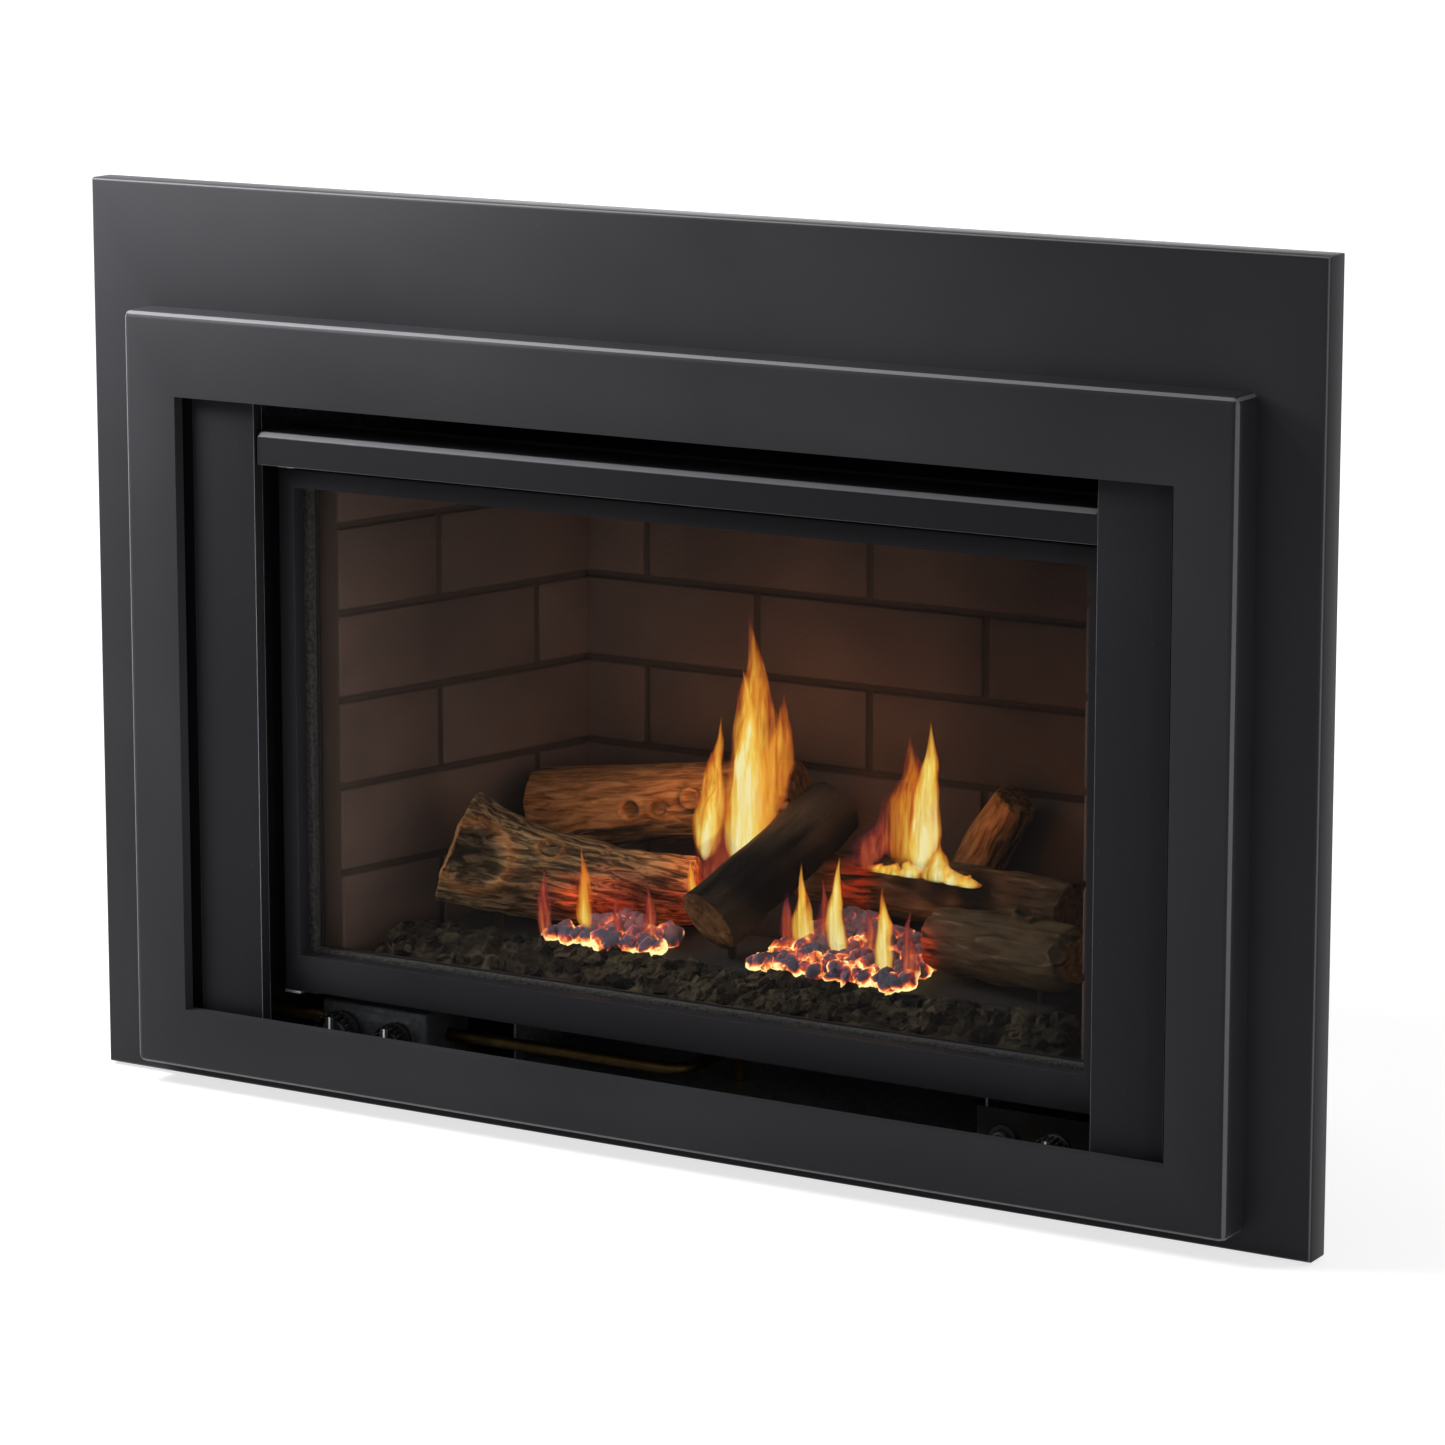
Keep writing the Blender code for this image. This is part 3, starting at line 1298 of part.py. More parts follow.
def build_log(name, path, pin_shares, carrier, carrier_top, number, ragged=1.0, branches=()):
    """A ceramic log: a loft through rough rings, seated over pins that stand on its carrier."""
    seed = Vector((number * 7.3, number * 3.1, number * 5.7))
    bm = bmesh.new()
    rings = [bark_ring(bm, path, 0.0, seed, 0.72, -1.0)]
    for step in range(LOG_RINGS):
        share = step / (LOG_RINGS - 1)
        rings.append(bark_ring(bm, path, share, seed))
    rings.append(bark_ring(bm, path, 1.0, seed, 0.72, ragged))
    for lower, upper in zip(rings, rings[1:]):
        for index in range(LOG_SIDES):
            bm.faces.new((lower[index - 1], lower[index], upper[index], upper[index - 1]))
    bmesh.ops.contextual_create(bm, geom=rings[0])
    bmesh.ops.contextual_create(bm, geom=rings[-1])
    bmesh.ops.triangulate(bm, faces=[face for face in bm.faces if len(face.verts) > 4])
    log = add_mesh(name, bm, (0, 0, 0), LOG, smooth=True)
    for index, branch in enumerate(branches):
        join(log, branch_stub(f"{name}_branch_{index}", path, branch))
    foot = carrier_top - LOG_PIN_ROOT
    for index, share in enumerate(pin_shares):
        spot, _, radius = along_path(path, share)
        pin_top = spot.z - radius * LOG_PIN_DEPTH_SHARE
        pin = rod(
            f"{name}_pin_{index}",
            (spot.x, spot.y, (foot + pin_top) / 2),
            LOG_PIN_RADIUS,
            pin_top - foot,
            None,
            steps=PIN_STEPS,
        )
        join(carrier, pin)
        bore = rod(
            f"{name}_bore_{index}",
            (spot.x, spot.y, (foot + pin_top + SEAT_GAP) / 2),
            LOG_PIN_RADIUS + SEAT_GAP,
            pin_top + SEAT_GAP - foot,
            None,
            steps=PIN_STEPS,
        )
        cut(log, bore)
    return log


def build_burner():
    """The burner tray, a pressed pan open below, and the shelf that carries the rear logs."""
    height = TRAY_TOP - FIREBOX_SEAT
    bm = bmesh.new()
    bmesh.ops.create_cube(bm, size=1.0)
    bmesh.ops.scale(bm, vec=(2 * TRAY_HALF, TRAY_DEPTH, height), verts=bm.verts)
    under = [face for face in bm.faces if face.normal.z < -0.5]
    bmesh.ops.delete(bm, geom=under, context="FACES_ONLY")
    rims = [edge for edge in bm.edges if all(vert.co.z > 0 for vert in edge.verts)]
    bmesh.ops.bevel(
        bm, geom=rims, offset=TRAY_EDGE_RADIUS, segments=BOW_SEGMENTS, profile=0.5, affect="EDGES"
    )
    centre = (0, TRAY_FRONT_Y + TRAY_DEPTH / 2, FIREBOX_SEAT + height / 2)
    tray = thicken(add_mesh("burner_tray", bm, centre, BLACK_STEEL), TRAY_SHEET)
    outline = (
        (SHELF_FRONT_Y, FIREBOX_SEAT),
        (SHELF_FRONT_Y, SHELF_TOP),
        (SHELF_REAR_Y, SHELF_TOP),
        (SHELF_REAR_Y, FIREBOX_SEAT),
    )
    shelf = folded_sheet(
        "log_shelf",
        outline,
        -SHELF_HALF,
        SHELF_HALF,
        SHELF_SHEET,
        BLACK_STEEL,
        along="X",
    )
    return tray, shelf


def build_ports(tray):
    """Two groups of slotted flame ports, under the left and the right ember bed."""
    middle_y = TRAY_FRONT_Y + PORT_FRONT_INSET + PORT_LENGTH / 2
    for side, span in (("left", LEFT_BED_SPAN_SHARES), ("right", RIGHT_BED_SPAN_SHARES)):
        bm = bmesh.new()
        for index in range(PORT_COUNT):
            shift = (index - (PORT_COUNT - 1) / 2) * PORT_PITCH
            made = bmesh.ops.create_cube(bm, size=1.0)["verts"]
            bmesh.ops.scale(bm, vec=(PORT_WIDTH, PORT_LENGTH, 2 * PORT_DEPTH), verts=made)
            bmesh.ops.translate(bm, vec=(shift, 0, 0), verts=made)
        middle_x = TRAY_HALF * (span[0] + span[1]) / 2
        cutter = add_mesh(f"ports_{side}", bm, (middle_x, middle_y, TRAY_TOP), None)
        cut(tray, cutter)


def build_bed(name, low, high, base, front_height, rear_height, bump, cells, material, seed):
    """A bed of loose fuel: flat below, lumpy on top and rising to the rear."""
    bm = bmesh.new()
    width = high[0] - low[0]
    depth = high[1] - low[1]
    bmesh.ops.create_grid(bm, x_segments=cells[0], y_segments=cells[1], size=0.5)
    grown = bmesh.ops.extrude_face_region(bm, geom=list(bm.faces))["geom"]
    upper = [item for item in grown if isinstance(item, bmesh.types.BMVert)]
    rim = 0.499
    for vert in upper:
        share = vert.co.y + 0.5
        lump = noise.noise(Vector((vert.co.x * cells[0], vert.co.y * cells[1], seed)) * 0.9)
        edge = BED_RIM_SHARE if max(abs(vert.co.x), abs(vert.co.y)) > rim else 1.0
        height = front_height + (rear_height - front_height) * share
        vert.co.z = height * edge + bump * lump
    for vert in bm.verts:
        vert.co.x *= width
        vert.co.y *= depth
    centre = ((low[0] + high[0]) / 2, (low[1] + high[1]) / 2, base)
    return add_mesh(name, bm, centre, material)


def build_beds():
    """The crushed coal in front of the tray and the two ember beds on it."""
    build_bed(
        "coal_bed",
        (-COAL_HALF, FLANGE_REAR_Y + COAL_FRONT_GAP),
        (COAL_HALF, TRAY_FRONT_Y - SEAT_GAP),
        FIREBOX_SEAT,
        COAL_FRONT_HEIGHT,
        COAL_REAR_HEIGHT,
        COAL_BUMP,
        (30, 4),
        COAL,
        1.5,
    )
    front = TRAY_FRONT_Y + EMBER_FRONT_INSET
    build_bed(
        "ember_bed_left",
        (TRAY_HALF * LEFT_BED_SPAN_SHARES[0], front),
        (TRAY_HALF * LEFT_BED_SPAN_SHARES[1], front + TRAY_DEPTH * LEFT_BED_DEPTH_SHARE),
        TRAY_TOP + SEAT_GAP,
        EMBER_HEIGHT,
        EMBER_HEIGHT,
        EMBER_BUMP,
        (10, 3),
        EMBER,
        4.5,
    )
    build_bed(
        "ember_bed_right",
        (TRAY_HALF * RIGHT_BED_SPAN_SHARES[0], front),
        (TRAY_HALF * RIGHT_BED_SPAN_SHARES[1], front + TRAY_DEPTH * RIGHT_BED_DEPTH_SHARE),
        TRAY_TOP + SEAT_GAP,
        EMBER_HEIGHT,
        EMBER_REAR_HEIGHT,
        EMBER_BUMP,
        (10, 8),
        EMBER,
        8.5,
    )


def build_pilot():
    """The pilot: a hooded burner on an angle bracket, with its thermopile and electrode."""
    floor = FIREBOX_SEAT
    front = PILOT_FRONT_Y
    rear = front + PILOT_PLATE_DEPTH
    top = floor + PILOT_PLATE_HEIGHT
    bracket = block(
        "pilot_burner",
        (PILOT_X - PILOT_PLATE_WIDTH / 2, front, top - PILOT_PLATE_SHEET),
        (PILOT_X + PILOT_PLATE_WIDTH / 2, rear, top),
        ZINC,
    )
    leg = block(
        "pilot_bracket_leg",
        (PILOT_X + PILOT_PLATE_WIDTH / 2 - PILOT_PLATE_SHEET, front, floor),
        (PILOT_X + PILOT_PLATE_WIDTH / 2, rear, top),
        None,
    )
    join(bracket, leg)
    seat = top + SEAT_GAP
    hood = (
        (0, PILOT_HOOD_HEIGHT),
        (PILOT_HOOD_RADIUS / 2, PILOT_HOOD_HEIGHT),
        (PILOT_HOOD_RADIUS, PILOT_HOOD_HEIGHT * 0.7),
        (PILOT_HOOD_RADIUS, -PILOT_PLATE_SHEET / 2),
        (0, -PILOT_PLATE_SHEET / 2),
    )
    middle = (front + rear) / 2
    cap = turned("pilot_hood", hood, (PILOT_X, middle, top), None, steps=SMALL_STEPS)
    join(bracket, cap)
    for name, side, material in (("thermopile", -1, ZINC), ("spark_electrode", 1, PORCELAIN)):
        outline = (
            (0, PILOT_ROD_HEIGHT),
            (PILOT_ROD_RADIUS * 0.6, PILOT_ROD_HEIGHT),
            (PILOT_ROD_RADIUS, PILOT_ROD_HEIGHT * 0.8),
            (PILOT_ROD_RADIUS, 0),
            (0, 0),
        )
        place = (PILOT_X, middle + side * PILOT_SPACING, seat)
        turned(name, outline, place, material, steps=PIN_STEPS)


def build_venturi():
    """The venturi tube under the tray, with its flared mouth and two air windows."""
    top = FIREBOX_FLOOR
    bottom = top - VENTURI_LENGTH
    bell = VENTURI_RADIUS + VENTURI_BELL_RIM
    bore = VENTURI_RADIUS - VENTURI_WALL
    outline = (
        (VENTURI_RADIUS, top),
        (VENTURI_RADIUS, bottom + VENTURI_BELL_HEIGHT),
        (bell, bottom + VENTURI_BELL_HEIGHT),
        (bell, bottom),
        (bore, bottom),
        (bore, top),
    )
    venturi = turned(
        "venturi_tube", outline, (VENTURI_X, VENTURI_Y, 0), ZINC, steps=SMALL_STEPS
    )
    low = bottom + VENTURI_BELL_HEIGHT + SEAT_GAP
    window = air_window("venturi_windows", low, INSERT)
    cut(venturi, window)
    return low


def air_window(name, low, holder):
    """A bar across the venturi that cuts one window in each side."""
    reach = VENTURI_RADIUS + SHUTTER_WALL + CUT_OVERRUN
    margin = (SHUTTER_HEIGHT - SHUTTER_WINDOW) / 2
    return block(
        name,
        (VENTURI_X - reach, VENTURI_Y - SHUTTER_WINDOW / 2, low + margin),
        (VENTURI_X + reach, VENTURI_Y + SHUTTER_WINDOW / 2, low + margin + SHUTTER_WINDOW),
        None,
        holder,
    )


def build_air_shutter(low, holder):
    """The sleeve that turns on the venturi, with its lever to the front."""
    bore = VENTURI_RADIUS + SEAT_GAP
    outer = bore + SHUTTER_WALL
    outline = (
        (outer, low + SHUTTER_HEIGHT),
        (outer, low),
        (bore, low),
        (bore, low + SHUTTER_HEIGHT),
    )
    sleeve = turned(
        "air_shutter", outline, (VENTURI_X, VENTURI_Y, 0), ZINC, holder, steps=SMALL_STEPS
    )
    window = air_window("shutter_windows", low, holder)
    cut(sleeve, window)
    near = VENTURI_Y - bore - SHUTTER_WALL / 2
    lever = block(
        "air_shutter_lever",
        (VENTURI_X - SHUTTER_LEVER_WIDTH / 2, VALVE_MIDDLE_Y + SHUTTER_LEVER_GAP, low),
        (VENTURI_X + SHUTTER_LEVER_WIDTH / 2, near, low + SHUTTER_LEVER_SHEET),
        None,
        holder,
    )
    return join(sleeve, lever)


def build_injector():
    """The brass injector on its post, under the mouth of the venturi."""
    body_low = PIPE_Z - INJECTOR_BODY_HEIGHT / 2
    body_high = PIPE_Z + INJECTOR_BODY_HEIGHT / 2
    outline = (
        (0, body_high + INJECTOR_TIP_HEIGHT),
        (INJECTOR_TIP_RADIUS / 2, body_high + INJECTOR_TIP_HEIGHT),
        (INJECTOR_TIP_RADIUS, body_high),
        (INJECTOR_RADIUS, body_high),
        (INJECTOR_RADIUS, body_low),
        (INJECTOR_POST_RADIUS, body_low),
        (INJECTOR_POST_RADIUS, CASE_SEAT),
        (0, CASE_SEAT),
    )
    turned("injector", outline, (VENTURI_X, VENTURI_Y, 0), BRASS, steps=6)


def build_manifold():
    """The pipe from the valve to the injector, along the floor of the casing."""
    start_x = VALVE_X + VALVE_WIDTH / 2 + SEAT_GAP
    lane_y = VALVE_MIDDLE_Y
    end_y = VENTURI_Y - INJECTOR_RADIUS - SEAT_GAP
    corner = Vector((VENTURI_X, lane_y, 0))
    route = [Vector((start_x, lane_y, 0)), corner - Vector((PIPE_BEND, 0, 0))]
    for step in range(1, 5):
        angle = math.pi / 2 * step / 5
        route.append(
            corner + Vector((PIPE_BEND * (math.sin(angle) - 1), PIPE_BEND * (1 - math.cos(angle)), 0))
        )
    route.append(corner + Vector((0, PIPE_BEND, 0)))
    route.append(Vector((VENTURI_X, end_y, 0)))
    curve = bpy.data.curves.new("manifold_pipe", "CURVE")
    curve.dimensions = "3D"
    curve.bevel_depth = PIPE_RADIUS
    curve.bevel_resolution = 2
    curve.use_fill_caps = True
    spline = curve.splines.new("POLY")
    spline.points.add(len(route) - 1)
    for point, spot in zip(spline.points, route):
        point.co = (spot.x, spot.y, 0, 1)
    pipe = bpy.data.objects.new("manifold_pipe", curve)
    PARTS.objects.link(pipe)
    place_object(pipe, (0, 0, PIPE_Z), BRASS, INSERT)


def build_valve():
    """The gas valve with knob bosses in front and a pressure regulator on top, and its inlet."""
    top = CASE_SEAT + VALVE_HEIGHT
    valve = block(
        "gas_valve",
        (VALVE_X - VALVE_WIDTH / 2, VALVE_FRONT_Y, CASE_SEAT),
        (VALVE_X + VALVE_WIDTH / 2, VALVE_FRONT_Y + VALVE_DEPTH, top),
        ALUMINISED,
        edge=VALVE_EDGE_RADIUS,
    )
    for name, x in (("gas", GAS_KNOB_X), ("flame", FLAME_KNOB_X)):
        boss = rod(
            f"valve_boss_{name}",
            (x, VALVE_FRONT_Y, PIPE_Z),
            VALVE_BOSS_RADIUS,
            2 * VALVE_BOSS_HEIGHT,
            None,
            axis="Y",
        )
        join(valve, boss)
    cap_top = REGULATOR_HEIGHT + REGULATOR_CAP_HEIGHT
    outline = (
        (0, cap_top),
        (REGULATOR_CAP_RADIUS, cap_top),
        (REGULATOR_CAP_RADIUS, REGULATOR_HEIGHT),
        (REGULATOR_RADIUS, REGULATOR_HEIGHT),
        (REGULATOR_RADIUS, -VALVE_EDGE_RADIUS),
        (0, -VALVE_EDGE_RADIUS),
    )
    place = (VALVE_X, VALVE_MIDDLE_Y, top)
    join(valve, turned("valve_regulator", outline, place, None, steps=SMALL_STEPS))
    inner = VALVE_X - VALVE_WIDTH / 2 - SEAT_GAP
    outer = -CASE_HALF - INLET_REACH
    outline = (
        (0, inner),
        (INLET_PIPE_RADIUS, inner),
        (INLET_PIPE_RADIUS, outer + INLET_NUT_LENGTH),
        (INLET_NUT_RADIUS, outer + INLET_NUT_LENGTH),
        (INLET_NUT_RADIUS, outer),
        (0, outer),
    )
    place = (0, VALVE_MIDDLE_Y, PIPE_Z)
    turned("gas_inlet_pipe", outline, place, BRASS, axis="X", steps=PIN_STEPS)


def build_knob(name, radius, spot, holder):
    """A skirted knob with a raised grip bar. Its rear face lies at the given spot."""
    outline = (
        (0, KNOB_DEPTH),
        (radius * 0.62, KNOB_DEPTH),
        (radius * 0.70, KNOB_DEPTH - KNOB_SKIRT / 4),
        (radius * 0.76, KNOB_SKIRT),
        (radius, KNOB_SKIRT * 0.8),
        (radius, 0),
        (0, 0),
    )
    front = [(r, -h) for r, h in outline]
    knob = turned(name, front[::-1], spot, PLASTIC, holder, axis="Y", steps=SMALL_STEPS)
    grip = block(
        f"{name}_grip",
        (spot[0] - KNOB_GRIP_WIDTH / 2, spot[1] - KNOB_DEPTH - KNOB_SKIRT, spot[2] - radius * 0.86),
        (spot[0] + KNOB_GRIP_WIDTH / 2, spot[1] - KNOB_SKIRT / 2, spot[2] + radius * 0.86),
        None,
        holder,
    )
    return join(knob, grip)


def build_control_plate():
    """The bent plate that carries igniter and fan control."""
    outline = (
        (PLATE_FRONT_Y + PLATE_FOOT, CASE_SEAT),
        (PLATE_FRONT_Y, CASE_SEAT),
        (PLATE_FRONT_Y, CASE_SEAT + PLATE_HEIGHT),
    )
    plate = folded_sheet(
        "control_plate",
        outline,
        PLATE_X - PLATE_WIDTH / 2,
        PLATE_X + PLATE_WIDTH / 2,
        PLATE_SHEET,
        BLACK_STEEL,
        along="X",
    )
    for name, x, radius in (
        ("igniter", IGNITER_X, IGNITER_BODY_RADIUS),
        ("fan", FAN_KNOB_X, FAN_SHAFT_RADIUS),
    ):
        hole = rod(
            f"plate_hole_{name}",
            (x, PLATE_FRONT_Y, CONTROL_Z),
            radius + SEAT_GAP,
            2 * CUT_OVERRUN,
            None,
            axis="Y",
        )
        cut(plate, hole)
    return plate


def build_igniter(holder):
    """The piezo igniter body behind the plate and its push button."""
    x = IGNITER_X
    bore = IGNITER_BUTTON_RADIUS + SEAT_GAP
    head = PLATE_FRONT_Y - SEAT_GAP
    outline = (
        (0, head + IGNITER_BODY_LENGTH),
        (IGNITER_BODY_RADIUS, head + IGNITER_BODY_LENGTH),
        (IGNITER_BODY_RADIUS, head),
        (IGNITER_BEZEL_RADIUS, head),
        (IGNITER_BEZEL_RADIUS, head - IGNITER_BEZEL_LENGTH),
        (bore, head - IGNITER_BEZEL_LENGTH),
        (bore, head + IGNITER_BUTTON_LENGTH),
        (0, head + IGNITER_BUTTON_LENGTH),
    )
    turned("igniter_body", outline, (x, 0, CONTROL_Z), PLASTIC, axis="Y", steps=SMALL_STEPS)
    seat = head + IGNITER_BUTTON_LENGTH - SEAT_GAP - IGNITER_TRAVEL
    nose = seat - IGNITER_BUTTON_LENGTH - IGNITER_TRAVEL
    button = (
        (0, seat),
        (IGNITER_BUTTON_RADIUS, seat),
        (IGNITER_BUTTON_RADIUS, nose + KNOB_SKIRT / 4),
        (IGNITER_BUTTON_RADIUS * 0.85, nose),
        (0, nose),
    )
    local = [(radius, y - holder.location.y) for radius, y in button]
    turned(
        "igniter_button", local, (x, holder.location.y, CONTROL_Z), PLASTIC, holder, axis="Y",
        steps=SMALL_STEPS,
    )


def build_fan_control():
    """The fan's speed control behind the plate, with its shaft through it."""
    rear = PLATE_FRONT_Y + PLATE_SHEET + SEAT_GAP
    outline = (
        (0, PLATE_FRONT_Y - FAN_SHAFT_LENGTH),
        (FAN_SHAFT_RADIUS, PLATE_FRONT_Y - FAN_SHAFT_LENGTH),
        (FAN_SHAFT_RADIUS, rear),
        (FAN_BODY_RADIUS, rear),
        (FAN_BODY_RADIUS, rear + FAN_BODY_LENGTH),
        (0, rear + FAN_BODY_LENGTH),
    )
    place = (FAN_KNOB_X, 0, CONTROL_Z)
    turned("fan_speed_control", outline[::-1], place, PLASTIC, axis="Y", steps=SMALL_STEPS)


def build_gland():
    """The gland for the power cord, through the right side of the casing."""
    wall = CASE_HALF
    outline = (
        (GLAND_RADIUS, wall + GLAND_REACH),
        (GLAND_RADIUS, wall + GLAND_REACH / 3),
        (GLAND_HEAD_RADIUS, wall + GLAND_REACH / 3),
        (GLAND_HEAD_RADIUS, wall + SEAT_GAP),
        (GLAND_RADIUS, wall + SEAT_GAP),
        (GLAND_RADIUS, wall - GLAND_REACH),
        (GLAND_BORE, wall - GLAND_REACH),
        (GLAND_BORE, wall + GLAND_REACH),
    )
    place = (0, CASE_FRONT_Y + GLAND_Y_INSET, CONTROL_Z)
    turned("power_gland", outline, place, PLASTIC, axis="X", steps=SMALL_STEPS)


def blower_arc(name, first_angle, turn, first_radius, last_radius, steps):
    """A curved sheet of the housing, from one plate to the other, along an arc round the wheel."""
    sweep = []
    for step in range(steps + 1):
        share = step / steps
        angle = math.radians(first_angle + turn * share)
        radius = first_radius + (last_radius - first_radius) * share + SCROLL_SHEET
        sweep.append((BLOWER_Y + radius * math.cos(angle), BLOWER_AXIS_Z + radius * math.sin(angle)))
    inside = BLOWER_PLATE / 2
    return folded_sheet(
        name,
        sweep,
        BLOWER_LEFT_X + inside,
        BLOWER_RIGHT_X - inside,
        SCROLL_SHEET,
        None,
        along="X",
    )


def build_blower_housing():
    """Two end plates with a scroll round the wheel and a tongue opposite to it."""
    front = BLOWER_Y - BLOWER_PLATE_DEPTH / 2
    rear = BLOWER_Y + BLOWER_PLATE_DEPTH / 2
    top = CASE_SEAT + BLOWER_HEIGHT
    housing = block(
        "blower_housing",
        (BLOWER_LEFT_X, front, CASE_SEAT),
        (BLOWER_LEFT_X + BLOWER_PLATE, rear, top),
        ZINC,
    )
    right_plate = block(
        "blower_right_plate",
        (BLOWER_RIGHT_X - BLOWER_PLATE, front, CASE_SEAT),
        (BLOWER_RIGHT_X, rear, top),
        None,
    )
    join(housing, right_plate)
    start = WHEEL_RADIUS + SCROLL_START_GAP
    end = WHEEL_RADIUS + SCROLL_END_GAP
    lip = WHEEL_RADIUS + TONGUE_GAP
    join(housing, blower_arc("blower_scroll", -150, 210, start, end, SCROLL_STEPS))
    join(housing, blower_arc("blower_tongue", 120, 36, lip, lip, SCROLL_STEPS // 4))
    bearing = rod(
        "blower_bearings",
        ((BLOWER_LEFT_X + BLOWER_RIGHT_X) / 2, BLOWER_Y, BLOWER_AXIS_Z),
        SHAFT_RADIUS + RUNNING_GAP,
        BLOWER_RIGHT_X - BLOWER_LEFT_X + 2 * CUT_OVERRUN,
        None,
        axis="X",
        steps=WHEEL_BLADES,
    )
    return cut(housing, bearing)


def blade(bm, length, angle):
    """One forward-curved blade of the wheel, from two chords of an arc."""
    points = []
    for step in range(3):
        share = step / 2
        radius = WHEEL_RADIUS - WHEEL_BLADE_DEPTH * (1 - share) - WHEEL_BLADE_SHEET
        lean = angle + math.radians(16) * share * share
        points.append((radius, lean))
    outline = [(r, a) for r, a in points]
    for r, a in reversed(points):
        outline.append((r, a + WHEEL_BLADE_SHEET / r))
    face = bm.faces.new(
        [bm.verts.new((0, r * math.cos(a), r * math.sin(a))) for r, a in outline]
    )
    grown = bmesh.ops.extrude_face_region(bm, geom=[face])["geom"]
    moved = [item for item in grown if isinstance(item, bmesh.types.BMVert)]
    bmesh.ops.translate(bm, vec=(length, 0, 0), verts=moved)


def build_blower_wheel(holder):
    """The tangential wheel: curved blades between two discs, on a shaft that seats at both ends."""
    left = BLOWER_LEFT_X + BLOWER_PLATE + WHEEL_END_GAP
    right = BLOWER_RIGHT_X - BLOWER_PLATE - WHEEL_END_GAP
    shaft_left = BLOWER_LEFT_X + SEAT_GAP
    shaft_right = BLOWER_RIGHT_X + SEAT_GAP + SHAFT_SEAT
    outline = (
        (0, shaft_right),
        (SHAFT_RADIUS, shaft_right),
        (SHAFT_RADIUS, right),
        (WHEEL_RADIUS, right),
        (WHEEL_RADIUS, right - WHEEL_DISC),
        (SHAFT_RADIUS, right - WHEEL_DISC),
        (SHAFT_RADIUS, left + WHEEL_DISC),
        (WHEEL_RADIUS, left + WHEEL_DISC),
        (WHEEL_RADIUS, left),
        (SHAFT_RADIUS, left),
        (SHAFT_RADIUS, shaft_left),
        (0, shaft_left),
    )
    shift = holder.location.x
    local = [(radius, x - shift) for radius, x in outline]
    wheel = turned(
        "blower_wheel", local, holder.location, ALUMINISED, holder, axis="X", steps=WHEEL_BLADES
    )
    bm = bmesh.new()
    for index in range(WHEEL_BLADES):
        blade(bm, right - left - WHEEL_DISC, 2 * math.pi * index / WHEEL_BLADES)
    blades = add_mesh(
        "wheel_blades", bm, (left + WHEEL_DISC / 2, BLOWER_Y, BLOWER_AXIS_Z), None, holder
    )
    return join(wheel, blades)


def build_blower_motor():
    """The motor on the housing's right plate, bored for the wheel's shaft."""
    start = BLOWER_RIGHT_X + SEAT_GAP
    bore = SHAFT_RADIUS + RUNNING_GAP
    end = start + MOTOR_LENGTH
    outline = (
        (0, end),
        (MOTOR_RADIUS * 0.8, end),
        (MOTOR_RADIUS, end - MOTOR_LENGTH * 0.15),
        (MOTOR_RADIUS, start),
        (bore, start),
        (bore, start + MOTOR_BORE_DEPTH),
        (0, start + MOTOR_BORE_DEPTH),
    )
    turned(
        "blower_motor",
        outline,
        (0, BLOWER_Y, BLOWER_AXIS_Z),
        ZINC,
        axis="X",
        steps=WHEEL_BLADES,
    )


def build_logs(tray, shelf):
    """The six logs of the set, each on its own pins."""
    on_tray = (TRAY_HALF, TRAY_FRONT_Y, TRAY_DEPTH, TRAY_TOP)
    on_shelf = (SHELF_HALF, SHELF_FRONT_Y, SHELF_DEPTH, SHELF_TOP)
    sets = (
        ("log_rear_left", REAR_LEFT_SHARES, REAR_LEFT_PIN_SHARES, shelf, on_shelf),
        ("log_front_left", FRONT_LEFT_SHARES, FRONT_LEFT_PIN_SHARES, tray, on_tray),
        ("log_crossing", CROSSING_SHARES, CROSSING_PIN_SHARES, tray, on_tray),
        ("log_right", RIGHT_SHARES, RIGHT_PIN_SHARES, shelf, on_shelf),
        ("log_stub", STUB_SHARES, STUB_PIN_SHARES, shelf, on_shelf),
        ("log_front_right", FRONT_RIGHT_SHARES, FRONT_RIGHT_PIN_SHARES, tray, on_tray),
    )
    ragged = {"log_front_right": RAGGED_SHARE}
    branches = {
        "log_rear_left": REAR_LEFT_BRANCH_SHARES,
        "log_front_right": FRONT_RIGHT_BRANCH_SHARES,
    }
    for number, (name, shares, pins, carrier, place) in enumerate(sets, start=1):
        path = laid_path(shares, *place)
        build_log(
            name,
            path,
            pins,
            carrier,
            place[-1],
            number,
            ragged.get(name, 1.0),
            branches.get(name, ()),
        )


